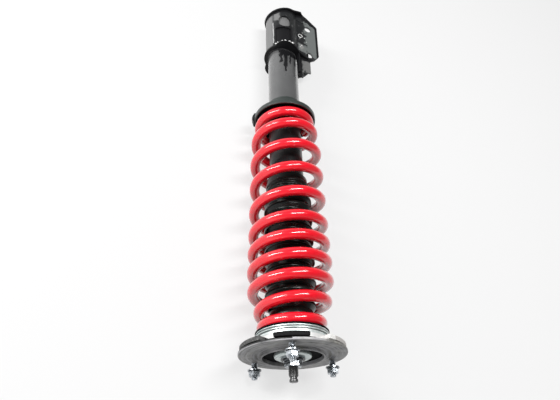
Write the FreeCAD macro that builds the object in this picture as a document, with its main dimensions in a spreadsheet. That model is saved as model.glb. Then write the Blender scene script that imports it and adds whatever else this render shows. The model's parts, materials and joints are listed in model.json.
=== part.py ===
import FreeCAD, Part
import math
import os

import Sketcher

# Front suspension strut: damper, coil spring, top mount and knuckle bracket.
# The strut axis is +Y. The origin is the centre of the top mount's face, which
# lies against the car body. The bracket's ears point along +X and the two
# knuckle bolts run along Z. All sizes are in millimetres.

doc = FreeCAD.newDocument("strut_assembly")
sheet = doc.addObject("Spreadsheet::Sheet", "sizes")

# Named sizes. Distances along the strut are measured from the mount face.
SIZES = [
    # mount plate
    ("plate_r", 66.5),
    ("plate_t", 3.2),
    ("hole_r", 37.5),
    ("lip_t", 2.0),
    ("lip_out", 3.4),
    # studs, on one circle
    ("stud_edge", 10.5),
    ("stud_turn", 114.0),
    ("stud_thread_r", 3.594),
    ("stud_head_r", 7.0),
    ("stud_head_t", 2.6),
    ("stud_nut_near", 8.0),
    ("stud_nut_high", 8.0),
    ("stud_over", 4.0),
    ("stud_nut_corner", 7.5),
    # cast housing
    ("core_r", 44.0),
    ("flange_edge", 1.5),
    ("flange_start", 5.0),
    ("flange_t", 5.7),
    ("lobe_half", 19.0),
    ("narrow_notch", 16.0),
    ("wide_notch", 22.0),
    ("web_t", 1.5),
    ("race_wall", 2.5),
    ("shell_t", 1.4),
    # rubber and cup
    ("cup_inset", 21.0),
    ("cup_wall", 2.0),
    ("cup_end", 12.0),
    ("rubber_start", 0.6),
    # thrust bearing
    ("ball_r", 2.5),
    ("ball_count", 12.0),
    ("ball_y", 13.75),
    ("race_fit", 0.1),
    ("race_land", 7.4),
    ("race_t", 1.9),
    ("race_gap", 1.35),
    ("groove_depth", 1.2),
    ("groove_half", 1.1),
    ("cage_half", 0.85),
    ("cage_rim", 1.2),
    # upper seat
    ("seat_inset", 1.0),
    ("seat_swell", 2.3),
    ("seat_rise", 4.0),
    ("seat_depth", 10.0),
    ("seat_t", 2.0),
    ("neck_r", 26.0),
    ("neck_length", 19.0),
    # coil spring
    ("wire_r", 7.25),
    ("spring_first", -0.25),
    ("spring_last", 10.35),
    ("spring_turn", 114.0),
    ("close_pitch", 27.0),
    ("open_pitch", 40.3),
    ("end_room", 2.15),
    ("body_radius", 49.4),
    ("body_taper", 0.75),
    # lower seat
    ("low_pad_face", 363.5),
    ("low_pad_t", 2.5),
    ("low_seat_t", 2.5),
    ("low_lip", 2.5),
    ("rim_room", 0.55),
    ("collar_rise", 10.0),
    ("collar_length", 16.0),
    ("tab_turn", 204.0),
    ("tab_t", 3.9),
    ("tab_half", 6.0),
    ("tab_rise", 4.0),
    ("tab_fall", 16.5),
    # tube
    ("tube_r", 24.3),
    ("tube_t", 2.0),
    ("tube_start", 222.0),
    ("cap_t", 3.0),
    # rod, guide and stops
    ("rod_r", 10.0),
    ("rod_pin_r", 6.0),
    ("rod_over", 17.5),
    ("rod_step", 14.0),
    ("rod_low_step", 336.0),
    ("rod_fit", 0.04),
    ("bush_t", 1.5),
    ("bump_cap_t", 2.5),
    ("bump_cap_length", 16.5),
    ("bump_room", 5.4),
    ("rebound_gap", 0.5),
    # working tube, piston and valves
    ("oil_gap", 2.8),
    ("work_t", 1.5),
    ("piston_high", 14.0),
    ("piston_fit", 0.5),
    ("band_fit", 0.05),
    ("band_depth", 1.8),
    ("disc_t", 2.0),
    # nuts on the rod
    ("washer_r", 15.0),
    ("washer_t", 1.6),
    ("rod_nut_corner", 10.97),
    ("rod_nut_turn", 12.0),
    ("rod_nut_high", 8.5),
    ("piston_nut_corner", 9.8),
    ("piston_nut_high", 8.0),
    # dust boot
    ("boot_t", 1.4),
    ("boot_peak", 33.4),
    ("boot_fold", 4.6),
    ("boot_folds", 12.0),
    ("boot_fit", 0.3),
    # knuckle bracket
    ("sheet_t", 3.4),
    ("ear_half", 20.8),
    ("ear_reach", 58.4),
    ("rim_slope", 0.2),
    ("rim_near", 495.0),
    ("bracket_length", 99.0),
    ("bolt_edge", 17.7),
    ("bolt_hole_r", 6.0),
    ("window_x", -5.0),
    ("window_r", 10.2),
    ("panel_turn", 108.0),
    ("panel_span", 56.0),
    ("panel_depth", 2.0),
    ("channel_t", 2.6),
    ("channel_depth", 8.0),
    # hose bracket
    ("hose_t", 2.6),
    ("hose_left", 16.5),
    ("hose_width", 23.5),
    ("hose_length", 50.0),
    ("hose_wall_out", 8.2),
]

# Lengths that follow from the sizes above. Such a name stands for its sum
# wherever it is written.
FOLLOWS = {
    # mount
    "stud_ring": "plate_r - stud_edge",
    "stud_shank_r": "stud_thread_r + 0.406",
    "stud_press_r": "stud_shank_r + 0.4",
    "shank_end": "stud_nut_near - 0.4",
    "stud_nut_far": "stud_nut_near + stud_nut_high",
    "stud_tip": "stud_nut_far + stud_over",
    "stud_nut_flange": "stud_nut_corner + 1.1",
    "flange_r": "plate_r - flange_edge",
    "flange_end": "flange_start + flange_t",
    "notch_root": "core_r + shell_t + 1",
    "housing_end": "ball_y + race_gap - 0.1",
    "web_end": "ball_y - race_gap - race_t",
    "web_start": "web_end - web_t",
    "web_in": "cup_r + 3",
    "race_pocket_r": "core_r - race_wall",
    "shell_in": "core_r - shell_t",
    "cup_r": "core_r - cup_inset",
    "race_out": "race_pocket_r - race_fit",
    "ball_ring": "race_out - race_land",
    "race_in": "web_in + 1",
    # upper seat
    "seat_y": "ball_y + race_gap + race_t",
    "seat_step": "seat_y + seat_rise",
    "seat_lip": "seat_y + seat_depth",
    "seat_small_r": "core_r - seat_inset",
    "seat_large_r": "seat_small_r + seat_swell",
    "neck_end": "seat_y + neck_length",
    "pad_in": "neck_r + boot_t + 1.2",
    "pad_face": "seat_lip + 0.1",
    # lower seat, which the end turn of the spring fits
    "end_radius": "neck_r + boot_t + wire_r + end_room",
    "low_seat_y": "low_pad_face + low_pad_t",
    "low_rim_y": "low_pad_face - low_lip",
    "low_rim_r": "end_radius + wire_r + rim_room + low_seat_t",
    "low_ring_in": "tube_r + low_seat_t + 3.2",
    "collar_y": "low_seat_y + collar_rise",
    "collar_end": "collar_y + collar_length",
    "tab_r": "low_rim_r + tab_t",
    "tab_start": "low_pad_face - tab_rise",
    "tab_end": "low_pad_face + tab_fall",
    # tube and what closes it
    "tube_in": "tube_r - tube_t",
    "tube_end": "rim_far - 2",
    "cap_top": "rim_far + 3",
    "cap_start": "rim_far - 8",
    "bump_cap_y": "tube_start - bump_cap_t",
    "bump_cap_r": "tube_r + 2.2",
    "bump_cap_end": "bump_cap_y + bump_cap_length",
    "gland_end": "tube_start + 6.5",
    "gland_in": "rod_r + 0.6",
    "guide_start": "tube_start + 11",
    "guide_step": "guide_start + 9",
    "guide_end": "guide_step + 4",
    "bush_r": "rod_r + bush_t",
    # rod and what it carries
    "washer_y": "lip_out + washer_t",
    "rod_nut_flange": "rod_nut_corner + 1.33",
    "rod_nut_far": "washer_y + rod_nut_high",
    "rod_tip": "rod_nut_far + rod_over",
    "bump_start": "neck_end + 2",
    "bump_r": "boot_peak - boot_fold - boot_t - bump_room",
    "piston_start": "rod_low_step + disc_t",
    "piston_end": "piston_start + piston_high",
    "nut_seat": "piston_end + 1.6",
    "piston_nut_end": "nut_seat + piston_nut_high",
    "rod_end": "piston_nut_end + 4.4",
    # working tube, piston and valves
    "work_r": "tube_in - oil_gap - work_t",
    "work_end": "rim_far - 22",
    "piston_r": "work_r - piston_fit",
    "band_r": "work_r - band_fit",
    "band_in": "work_r - band_depth",
    "disc_r": "work_r - 4",
    # dust boot
    "boot_start": "seat_y + 12",
    "boot_first": "neck_end + 2",
    "boot_last": "tube_start",
    "boot_end": "bump_cap_end + 14",
    "boot_mouth": "bump_cap_r + boot_fit + boot_t + 1.2",
    # knuckle bracket
    "wrap_out": "tube_r + sheet_t",
    "rim_far": "rim_near + bracket_length",
    "bolt_x": "ear_reach - bolt_edge",
    "bolt_near": "rim_near + 8",
    "bolt_far": "rim_far - 28",
    "far_rim_r": "wrap_out + 2.6",
    "near_rim_r": "wrap_out + 3.8",
    "lobe_shift": "tube_r - 1.5",
    "near_lobe_r": "near_rim_r - 13",
    "window_low": "rim_far - 34.5",
    "window_high": "window_low + 5",
    "channel_x": "tube_r + 0.7",
    "channel_out": "channel_x + channel_depth",
    "channel_low": "rim_near + 8",
    "channel_high": "rim_far - 8",
    # hose bracket
    "hose_right": "hose_left + hose_width",
    "hose_tip": "rim_near - hose_length",
    "hose_wall": "ear_half + hose_wall_out",
}

for row, (alias, number) in enumerate(SIZES, start=1):
    cell = "B%d" % row
    sheet.set("A%d" % row, alias)
    sheet.set(cell, repr(number))
    sheet.setAlias(cell, alias)
doc.recompute()


def size(alias):
    return float(sheet.get(alias))


# A length is written as a sum of named sizes and numbers, such as
# "plate_r - 0.6". The same words give its value and its bound expression.

def length_of(word):
    if word in FOLLOWS:
        return amount(FOLLOWS[word])
    return size(word) if word[0].isalpha() else float(word)


def amount(text):
    total = 0.0
    sign = 1.0
    for word in text.split():
        if word == "+":
            sign = 1.0
        elif word == "-":
            sign = -1.0
        else:
            total += sign * length_of(word)
            sign = 1.0
    return total


def bound(text):
    words = []
    for word in text.split():
        if word in FOLLOWS:
            words.append("(" + bound(FOLLOWS[word]) + ")")
        else:
            words.append("sizes." + word if word[0].isalpha() else word)
    return " ".join(words)


# A coordinate is either such a sum or a pair of a value and an expression.

def value_of(item):
    return item[0] if isinstance(item, tuple) else amount(item)


def expression_of(item):
    return item[1] if isinstance(item, tuple) else bound(item)


pieces = []


def body_for(label):
    body = doc.addObject("PartDesign::Body", label)
    body.Label = label
    body.Placement = FreeCAD.Placement()
    pieces.append(body)
    return body


def plane_of(body, role):
    return [f for f in body.Origin.OriginFeatures if f.Role == role][0]


def sketch_on(body, name, role="XY_Plane", at="0", tilt=0.0):
    sketch = body.newObject("Sketcher::SketchObject", name)
    sketch.AttachmentSupport = [(plane_of(body, role), "")]
    sketch.MapMode = "FlatFace"
    turn = FreeCAD.Rotation(FreeCAD.Vector(0, 1, 0), tilt)
    # the cross plane looks along the strut, so its own height is minus Y
    lift = "-(" + bound(at) + ")" if role == "XZ_Plane" else bound(at)
    height = -amount(at) if role == "XZ_Plane" else amount(at)
    sketch.AttachmentOffset = FreeCAD.Placement(FreeCAD.Vector(0, 0, height), turn)
    if at != "0":
        sketch.setExpression("AttachmentOffset.Base.z", lift)
    return sketch


def fix_point(sketch, geometry, end, point):
    for kind, item in zip(("DistanceX", "DistanceY"), point):
        number = sketch.addConstraint(Sketcher.Constraint(kind, -1, 1, geometry, end, value_of(item)))
        sketch.setExpression("Constraints[%d]" % number, expression_of(item))


def outline(sketch, points):
    spots = [FreeCAD.Vector(value_of(a), value_of(b), 0) for a, b in points]
    count = len(spots)
    for i in range(count):
        sketch.addGeometry(Part.LineSegment(spots[i], spots[(i + 1) % count]), False)
    for i in range(count):
        sketch.addConstraint(Sketcher.Constraint("Coincident", i, 2, (i + 1) % count, 1))
    for i in range(count):
        fix_point(sketch, i, 1, points[i])


def ring(sketch, centre, radius):
    spot = FreeCAD.Vector(value_of(centre[0]), value_of(centre[1]), 0)
    number = sketch.addGeometry(Part.Circle(spot, FreeCAD.Vector(0, 0, 1), value_of(radius)), False)
    fix_point(sketch, number, 3, centre)
    limit = sketch.addConstraint(Sketcher.Constraint("Radius", number, value_of(radius)))
    sketch.setExpression("Constraints[%d]" % limit, expression_of(radius))


def oblong(sketch, x, low, high, radius):
    # upright slot between two half circles
    centre_low = FreeCAD.Vector(amount(x), amount(low), 0)
    centre_high = FreeCAD.Vector(amount(x), amount(high), 0)
    reach = amount(radius)
    up = FreeCAD.Vector(0, 0, 1)
    arc_low = Part.ArcOfCircle(Part.Circle(centre_low, up, reach), math.pi, 2 * math.pi)
    arc_high = Part.ArcOfCircle(Part.Circle(centre_high, up, reach), 0, math.pi)
    side = FreeCAD.Vector(reach, 0, 0)
    sketch.addGeometry(arc_low, False)
    sketch.addGeometry(Part.LineSegment(centre_low + side, centre_high + side), False)
    sketch.addGeometry(arc_high, False)
    sketch.addGeometry(Part.LineSegment(centre_high - side, centre_low - side), False)
    for i in range(4):
        sketch.addConstraint(Sketcher.Constraint("Tangent", i, 2, (i + 1) % 4, 1))
    fix_point(sketch, 0, 3, (x, low))
    fix_point(sketch, 2, 3, (x, high))
    limit = sketch.addConstraint(Sketcher.Constraint("Radius", 0, reach))
    sketch.setExpression("Constraints[%d]" % limit, bound(radius))


def spin(body, name, points, kind="PartDesign::Revolution"):
    sketch = sketch_on(body, name + "_profile")
    outline(sketch, points)
    feature = body.newObject(kind, name)
    feature.Profile = sketch
    feature.ReferenceAxis = (sketch, ["V_Axis"])
    feature.Angle = 360.0
    body.Tip = feature
    return feature


def turned(label, points):
    body = body_for(label)
    spin(body, label + "_turn", points)
    return body


def pad(body, name, draw, near, far, role="XZ_Plane"):
    # between two heights along the strut, or along Z on the side plane
    start = far if role == "XZ_Plane" else near
    sketch = sketch_on(body, name + "_sketch", role, start)
    draw(sketch)
    feature = body.newObject("PartDesign::Pad", name)
    feature.Profile = sketch
    feature.setExpression("Length", bound(far) + " - (" + bound(near) + ")")
    body.Tip = feature
    return feature


def pocket(body, name, draw, near, far, role="XZ_Plane"):
    start = near if role == "XZ_Plane" else far
    sketch = sketch_on(body, name + "_sketch", role, start)
    draw(sketch)
    doc.recompute()
    before = body.Shape.Volume
    feature = body.newObject("PartDesign::Pocket", name)
    feature.Profile = sketch
    feature.setExpression("Length", bound(far) + " - (" + bound(near) + ")")
    body.Tip = feature
    doc.recompute()
    if body.Shape.Volume > before - 0.5:
        raise RuntimeError(name + " removes nothing")
    return feature


def around(body, name, features, count):
    # repeats the features round the strut axis
    pattern = body.newObject("PartDesign::PolarPattern", name)
    pattern.Originals = features
    axis = [f for f in body.Origin.OriginFeatures if f.Role == "Y_Axis"][0]
    pattern.Axis = (axis, [""])
    pattern.Angle = 360.0
    pattern.Occurrences = count
    body.Tip = pattern
    return pattern


def on_circle(reach, turn, along="0", across="0"):
    # a point at an angle round the axis, shifted outward and sideways
    angle = math.radians(amount(turn))
    out = amount(reach) + amount(along)
    side = amount(across)
    far = "((" + bound(reach) + ") + (" + bound(along) + "))"
    wide = "(" + bound(across) + ")"
    trig = "(" + bound(turn) + ")"
    x = (out * math.cos(angle) - side * math.sin(angle),
         far + " * cos" + trig + " - " + wide + " * sin" + trig)
    z = (out * math.sin(angle) + side * math.cos(angle),
         far + " * sin" + trig + " + " + wide + " * cos" + trig)
    return x, z


def hexagon(sketch, centre, corner, first="0"):
    points = []
    for k in range(6):
        turn = amount(first) + 60.0 * k
        words = "(" + bound(first) + " + %g)" % (60.0 * k)
        x = (value_of(centre[0]) + amount(corner) * math.cos(math.radians(turn)),
             expression_of(centre[0]) + " + (" + bound(corner) + ") * cos" + words)
        z = (value_of(centre[1]) + amount(corner) * math.sin(math.radians(turn)),
             expression_of(centre[1]) + " + (" + bound(corner) + ") * sin" + words)
        points.append((x, z))
    outline(sketch, points)


AXIS = ("0", "0")
STUD = on_circle("stud_ring", "stud_turn")

# Top mount: face plate with its proud lip and three stud holes
mount_plate = turned("mount_plate", [
    ("hole_r", "- lip_out"),
    ("hole_r + lip_t - 0.5", "- lip_out"),
    ("hole_r + lip_t", "- lip_out + 0.5"),
    ("hole_r + lip_t", "0"),
    ("plate_r", "0"),
    ("plate_r", "plate_t"),
    ("hole_r", "plate_t"),
])
plate_hole = pocket(mount_plate, "stud_hole", lambda s: ring(s, STUD, "stud_press_r"), "- 1", "plate_t + 1")
around(mount_plate, "stud_holes", [plate_hole], 3)

# Cast housing: a core with a flange, hollow for the rubber and the bearing.
# Two notches beside each stud leave a lobe under it and a segment between.
mount_housing = body_for("mount_housing")
pad(mount_housing, "core", lambda s: ring(s, AXIS, "core_r"), "plate_t", "housing_end")
pad(mount_housing, "flange", lambda s: ring(s, AXIS, "flange_r"), "flange_start", "flange_end")


def notch(name, first, last):
    return pocket(mount_housing, name, lambda s: outline(s, [
        on_circle("notch_root", first),
        on_circle("flange_r + 6", first),
        on_circle("flange_r + 6", last),
        on_circle("notch_root", last),
    ]), "flange_start - 1", "flange_end + 1")


narrow = notch("narrow_notch_cut", "stud_turn + lobe_half", "stud_turn + lobe_half + narrow_notch")
wide = notch("wide_notch_cut", "stud_turn - lobe_half", "stud_turn - lobe_half - wide_notch")
around(mount_housing, "narrow_notches", [narrow], 3)
around(mount_housing, "wide_notches", [wide], 3)
pocket(mount_housing, "rubber_bore", lambda s: ring(s, AXIS, "hole_r"), "plate_t - 1", "web_start")
pocket(mount_housing, "web_bore", lambda s: ring(s, AXIS, "web_in"), "web_start - 1", "housing_end + 1")
pocket(mount_housing, "race_bore", lambda s: ring(s, AXIS, "race_pocket_r"), "web_end", "housing_end + 1")
head_room = pocket(mount_housing, "head_room", lambda s: ring(s, STUD, "stud_head_r + 0.3"),
                   "plate_t - 1", "plate_t + stud_head_t + 0.4")
around(mount_housing, "head_rooms", [head_room], 3)

# Pressed shell round the core, from the flange to over the core's edge
turned("housing_shell", [
    ("core_r", "flange_end"),
    ("core_r + shell_t", "flange_end"),
    ("core_r + shell_t", "housing_end + shell_t - 0.5"),
    ("core_r + shell_t - 0.5", "housing_end + shell_t"),
    ("shell_in", "housing_end + shell_t"),
    ("shell_in", "housing_end"),
    ("core_r", "housing_end"),
])

# Rubber ring bonded between the plate and the inner cup
turned("mount_rubber", [
    ("cup_r", "rubber_start + 1"),
    ("cup_r + 2", "rubber_start"),
    ("hole_r - 2", "rubber_start"),
    ("hole_r", "rubber_start + 1"),
    ("hole_r", "web_start"),
    ("cup_r", "web_start"),
])

# Inner cup with the sleeve that sits on the rod's shoulder
turned("inner_cup", [
    ("rod_pin_r + 0.1", "- lip_out"),
    ("cup_r - 1", "- lip_out"),
    ("cup_r", "- lip_out + 1"),
    ("cup_r", "cup_end"),
    ("cup_r - cup_wall", "cup_end"),
    ("cup_r - cup_wall", "- lip_out + cup_wall"),
    ("rod_r", "- lip_out + cup_wall"),
    ("rod_r", "rod_step"),
    ("rod_pin_r + 0.1", "rod_step"),
])

# Studs: head behind the plate, pressed part, plain shank, threaded end
mount_studs = body_for("mount_studs")
stud_head = pad(mount_studs, "stud_head", lambda s: ring(s, STUD, "stud_head_r"), "plate_t", "plate_t + stud_head_t")
stud_press = pad(mount_studs, "stud_press", lambda s: ring(s, STUD, "stud_press_r"), "0", "plate_t")
stud_shank = pad(mount_studs, "stud_shank", lambda s: ring(s, STUD, "stud_shank_r"), "- shank_end", "0")
stud_thread = pad(mount_studs, "stud_thread", lambda s: ring(s, STUD, "stud_thread_r"), "- stud_tip", "- shank_end")
around(mount_studs, "three_studs", [stud_head, stud_press, stud_shank, stud_thread], 3)

# Flange nuts on the studs
stud_nuts = body_for("stud_nuts")
nut_flange = pad(stud_nuts, "nut_flange", lambda s: ring(s, STUD, "stud_nut_flange"),
                 "- stud_nut_near - 1.5", "- stud_nut_near")
nut_hex = pad(stud_nuts, "nut_hex", lambda s: hexagon(s, STUD, "stud_nut_corner"),
              "- stud_nut_far", "- stud_nut_near - 1.5")
nut_bore = pocket(stud_nuts, "nut_bore", lambda s: ring(s, STUD, "stud_thread_r + 0.05"),
                  "- stud_nut_far - 1", "- stud_nut_near + 1")
around(stud_nuts, "three_nuts", [nut_flange, nut_hex, nut_bore], 3)

# Rod nut and washer
turned("rod_washer", [
    ("rod_pin_r + 0.2", "- washer_y"),
    ("washer_r - 0.4", "- washer_y"),
    ("washer_r", "- washer_y + 0.4"),
    ("washer_r", "- lip_out"),
    ("rod_pin_r + 0.2", "- lip_out"),
])
rod_nut = body_for("rod_nut")
pad(rod_nut, "rod_nut_flange_pad", lambda s: ring(s, AXIS, "rod_nut_flange"), "- washer_y - 2", "- washer_y")
pad(rod_nut, "rod_nut_hex", lambda s: hexagon(s, AXIS, "rod_nut_corner", "rod_nut_turn"), "- rod_nut_far", "- washer_y - 2")
pocket(rod_nut, "rod_nut_bore", lambda s: ring(s, AXIS, "rod_pin_r + 0.05"), "- rod_nut_far - 1", "- washer_y + 1")
spin(rod_nut, "rod_nut_chamfer", [
    ("rod_nut_corner - 1.3", "- rod_nut_far - 0.2"),
    ("rod_nut_corner + 0.5", "- rod_nut_far - 0.2"),
    ("rod_nut_corner + 0.5", "- rod_nut_far + 0.8"),
], "PartDesign::Groove")

# Thrust bearing between the housing and the upper seat
turned("upper_bearing_race", [
    ("race_in", "web_end"),
    ("race_out", "web_end"),
    ("race_out", "ball_y - race_gap"),
    ("ball_ring + groove_half + groove_depth", "ball_y - race_gap"),
    ("ball_ring + groove_half", "ball_y - race_gap - groove_depth"),
    ("ball_ring - groove_half", "ball_y - race_gap - groove_depth"),
    ("ball_ring - groove_half - groove_depth", "ball_y - race_gap"),
    ("race_in", "ball_y - race_gap"),
])
turned("lower_bearing_race", [
    ("race_in", "seat_y"),
    ("race_in", "ball_y + race_gap"),
    ("ball_ring - groove_half - groove_depth", "ball_y + race_gap"),
    ("ball_ring - groove_half", "ball_y + race_gap + groove_depth"),
    ("ball_ring + groove_half", "ball_y + race_gap + groove_depth"),
    ("ball_ring + groove_half + groove_depth", "ball_y + race_gap"),
    ("race_out", "ball_y + race_gap"),
    ("race_out", "seat_y"),
])
BALLS = int(size("ball_count"))
bearing_cage = turned("bearing_cage", [
    ("ball_ring - ball_r - cage_rim", "ball_y - cage_half"),
    ("ball_ring + ball_r + cage_rim", "ball_y - cage_half"),
    ("ball_ring + ball_r + cage_rim", "ball_y + cage_half"),
    ("ball_ring - ball_r - cage_rim", "ball_y + cage_half"),
])
cage_hole = pocket(bearing_cage, "ball_hole", lambda s: ring(s, ("ball_ring", "0"), "ball_r + 0.1"),
                   "ball_y - cage_half - 1", "ball_y + cage_half + 1")
around(bearing_cage, "ball_holes", [cage_hole], BALLS)

balls = []
for k in range(BALLS):
    angle = 2 * math.pi * k / BALLS
    centre = FreeCAD.Vector(amount("ball_ring") * math.cos(angle), size("ball_y"),
                            amount("ball_ring") * math.sin(angle))
    balls.append(Part.makeSphere(size("ball_r"), centre))
bearing_balls = doc.addObject("Part::Feature", "bearing_balls")
bearing_balls.Label = "bearing_balls"
bearing_balls.Shape = Part.makeCompound(balls)
bearing_balls.Placement = FreeCAD.Placement()
pieces.append(bearing_balls)

# Upper spring seat, a stepped pressing with a neck for the boot
turned("upper_spring_seat", [
    ("neck_r - seat_t", "seat_y"),
    ("seat_small_r - 0.6", "seat_y"),
    ("seat_small_r", "seat_y + 0.6"),
    ("seat_small_r", "seat_step"),
    ("seat_large_r - 0.6", "seat_step"),
    ("seat_large_r", "seat_step + 0.6"),
    ("seat_large_r", "seat_lip"),
    ("seat_large_r - seat_t", "seat_lip"),
    ("seat_large_r - seat_t", "seat_step + seat_t"),
    ("seat_small_r - seat_t", "seat_step + seat_t"),
    ("seat_small_r - seat_t", "seat_y + seat_t"),
    ("neck_r", "seat_y + seat_t"),
    ("neck_r", "neck_end"),
    ("neck_r - seat_t", "neck_end"),
])
turned("upper_spring_pad", [
    ("pad_in", "seat_y + seat_t"),
    ("seat_small_r - seat_t", "seat_y + seat_t"),
    ("seat_small_r - seat_t", "seat_step + seat_t"),
    ("seat_large_r - seat_t", "seat_step + seat_t"),
    ("seat_large_r - seat_t", "pad_face"),
    ("pad_in", "pad_face"),
])


# Coil spring. Its centre line is given by the turn number k, counted from the
# mount end. The pitch opens from the close turns to the open ones, and both
# ends run flatter and at a smaller radius. The curve is joined from pairs of
# arcs, one pair for each half turn, and the wire is swept along it.

def smooth(x):
    x = max(0.0, min(1.0, x))
    return x * x * (3.0 - 2.0 * x)


def coil_radius(k):
    first = size("spring_first")
    last = size("spring_last")
    middle = size("body_radius") - size("body_taper") * max(0.0, k - 3.0)
    ends = smooth((k - first - 0.25) / 2.0) * (1.0 - smooth((k - last + 1.95) / 2.2))
    return amount("end_radius") + (middle - amount("end_radius")) * ends


def coil_pitch(k):
    pitch = size("close_pitch") + (size("open_pitch") - size("close_pitch")) * smooth((k - 4.3) / 1.6)
    start = smooth((k - size("spring_first") - 0.15) / 0.35)
    finish = 1.0 - 0.75 * max(0.0, min(1.0, (k - size("spring_last") + 1.6) / 1.6))
    return pitch * start * finish


def coil_heights(count):
    # heights at equal steps of k, scaled so that the last turn meets its pad
    first = size("spring_first")
    step = (size("spring_last") - first) / count
    heights = [0.0]
    for i in range(count):
        k = first + i * step
        rise = (coil_pitch(k) + 4.0 * coil_pitch(k + step / 2.0) + coil_pitch(k + step)) / 6.0
        heights.append(heights[-1] + rise * step)
    top = amount("pad_face") + size("wire_r")
    low = size("low_pad_face") - size("wire_r")
    scale = (low - top) / heights[-1]
    return [top + h * scale for h in heights], scale


COIL_STEPS = 1060
heights, height_scale = coil_heights(COIL_STEPS)


def coil_point(k):
    first = size("spring_first")
    place = (k - first) / (size("spring_last") - first) * COIL_STEPS
    i = max(0, min(COIL_STEPS - 1, int(place)))
    y = heights[i] + (heights[i + 1] - heights[i]) * (place - i)
    angle = math.radians(size("spring_turn")) - 2 * math.pi * k
    r = coil_radius(k)
    return FreeCAD.Vector(r * math.cos(angle), y, r * math.sin(angle))


def coil_direction(k):
    angle = math.radians(size("spring_turn")) - 2 * math.pi * k
    r = coil_radius(k)
    grow = (coil_radius(k + 0.001) - coil_radius(k - 0.001)) / 0.002
    turn = -2 * math.pi
    direction = FreeCAD.Vector(
        grow * math.cos(angle) - r * math.sin(angle) * turn,
        coil_pitch(k) * height_scale,
        grow * math.sin(angle) + r * math.cos(angle) * turn)
    return direction.normalize()


def arc_from(start, corner, end):
    # arc that leaves start towards corner and reaches end from corner
    middle = (start + end) * 0.5
    half = (end - start).Length / 2.0
    angle = math.acos(max(-1.0, min(1.0, half / (corner - start).Length)))
    rise = (corner - middle) * (math.tan(angle / 2.0) / math.tan(angle))
    return Part.Arc(start, middle + rise, end).toShape()


def arc_pair(k0, k1):
    p0 = coil_point(k0)
    p1 = coil_point(k1)
    t0 = coil_direction(k0)
    t1 = coil_direction(k1)
    chord = p1 - p0
    spread = 2.0 * (1.0 - t0.dot(t1))
    along = chord.dot(t0 + t1)
    reach = (-along + math.sqrt(along * along + spread * chord.dot(chord))) / spread
    joint = (p0 + p1 + (t0 - t1) * reach) * 0.5
    return [arc_from(p0, p0 + t0 * reach, joint), arc_from(joint, p1 - t1 * reach, p1)]


def coil_shape():
    first = size("spring_first")
    last = size("spring_last")
    count = int(round((last - first) / 0.5))
    edges = []
    for i in range(count):
        k0 = first + (last - first) * i / count
        k1 = first + (last - first) * (i + 1) / count
        edges.extend(arc_pair(k0, k1))
    path = Part.Wire(edges)
    profile = Part.Wire([Part.Circle(coil_point(first), coil_direction(first), size("wire_r")).toShape()])
    sweep = Part.BRepOffsetAPI.MakePipeShell(path)
    sweep.add(profile)
    sweep.build()
    sweep.makeSolid()
    return path, sweep.shape()


def least_gap(path):
    # distance between points of the centre line at least half a turn apart,
    # less the thickness of the wire
    points = []
    for edge in path.OrderedEdges:
        for i in range(12):
            span = edge.LastParameter - edge.FirstParameter
            points.append(edge.valueAt(edge.FirstParameter + span * i / 12.0))
    apart = 24
    least = 1.0e9
    for i in range(len(points)):
        for j in range(i + apart, min(len(points), i + apart * 3)):
            least = min(least, (points[i] - points[j]).Length)
    return least - 2.0 * size("wire_r")


coil_path, coil = coil_shape()
coil_spring = doc.addObject("Part::Feature", "coil_spring")
coil_spring.Label = "coil_spring"
coil_spring.Shape = coil
coil_spring.Placement = FreeCAD.Placement()
pieces.append(coil_spring)
spring_gap = least_gap(coil_path)
print("least gap of the spring to itself: %.2f mm" % spring_gap)
if spring_gap < 0.4:
    raise RuntimeError("spring turns are too close")

# Lower spring seat with its collar on the tube, its pad and its tab
turned("lower_spring_seat", [
    ("tube_r", "collar_y"),
    ("tube_r", "collar_end"),
    ("tube_r + low_seat_t", "collar_end"),
    ("tube_r + low_seat_t", "collar_y + low_seat_t"),
    ("low_ring_in + 1.5", "low_seat_y + low_seat_t"),
    ("low_rim_r - 0.8", "low_seat_y + low_seat_t"),
    ("low_rim_r", "low_seat_y + low_seat_t - 0.8"),
    ("low_rim_r", "low_rim_y"),
    ("low_rim_r - low_seat_t", "low_rim_y"),
    ("low_rim_r - low_seat_t", "low_seat_y"),
    ("low_ring_in", "low_seat_y"),
])
turned("lower_spring_pad", [
    ("low_ring_in + 0.4", "low_pad_face"),
    ("low_rim_r - low_seat_t - 0.2", "low_pad_face"),
    ("low_rim_r - low_seat_t - 0.2", "low_seat_y"),
    ("low_ring_in + 0.4", "low_seat_y"),
])
seat_tab = body_for("seat_tab")
pad(seat_tab, "tab_block", lambda s: outline(s, [
    on_circle("low_rim_r", "tab_turn", "- 2", "- tab_half"),
    on_circle("tab_r", "tab_turn", "0", "- tab_half"),
    on_circle("tab_r", "tab_turn", "0", "tab_half"),
    on_circle("low_rim_r", "tab_turn", "- 2", "tab_half"),
]), "tab_start", "tab_end")
pocket(seat_tab, "tab_seat", lambda s: ring(s, AXIS, "low_rim_r"), "tab_start - 1", "tab_end + 1")

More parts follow.
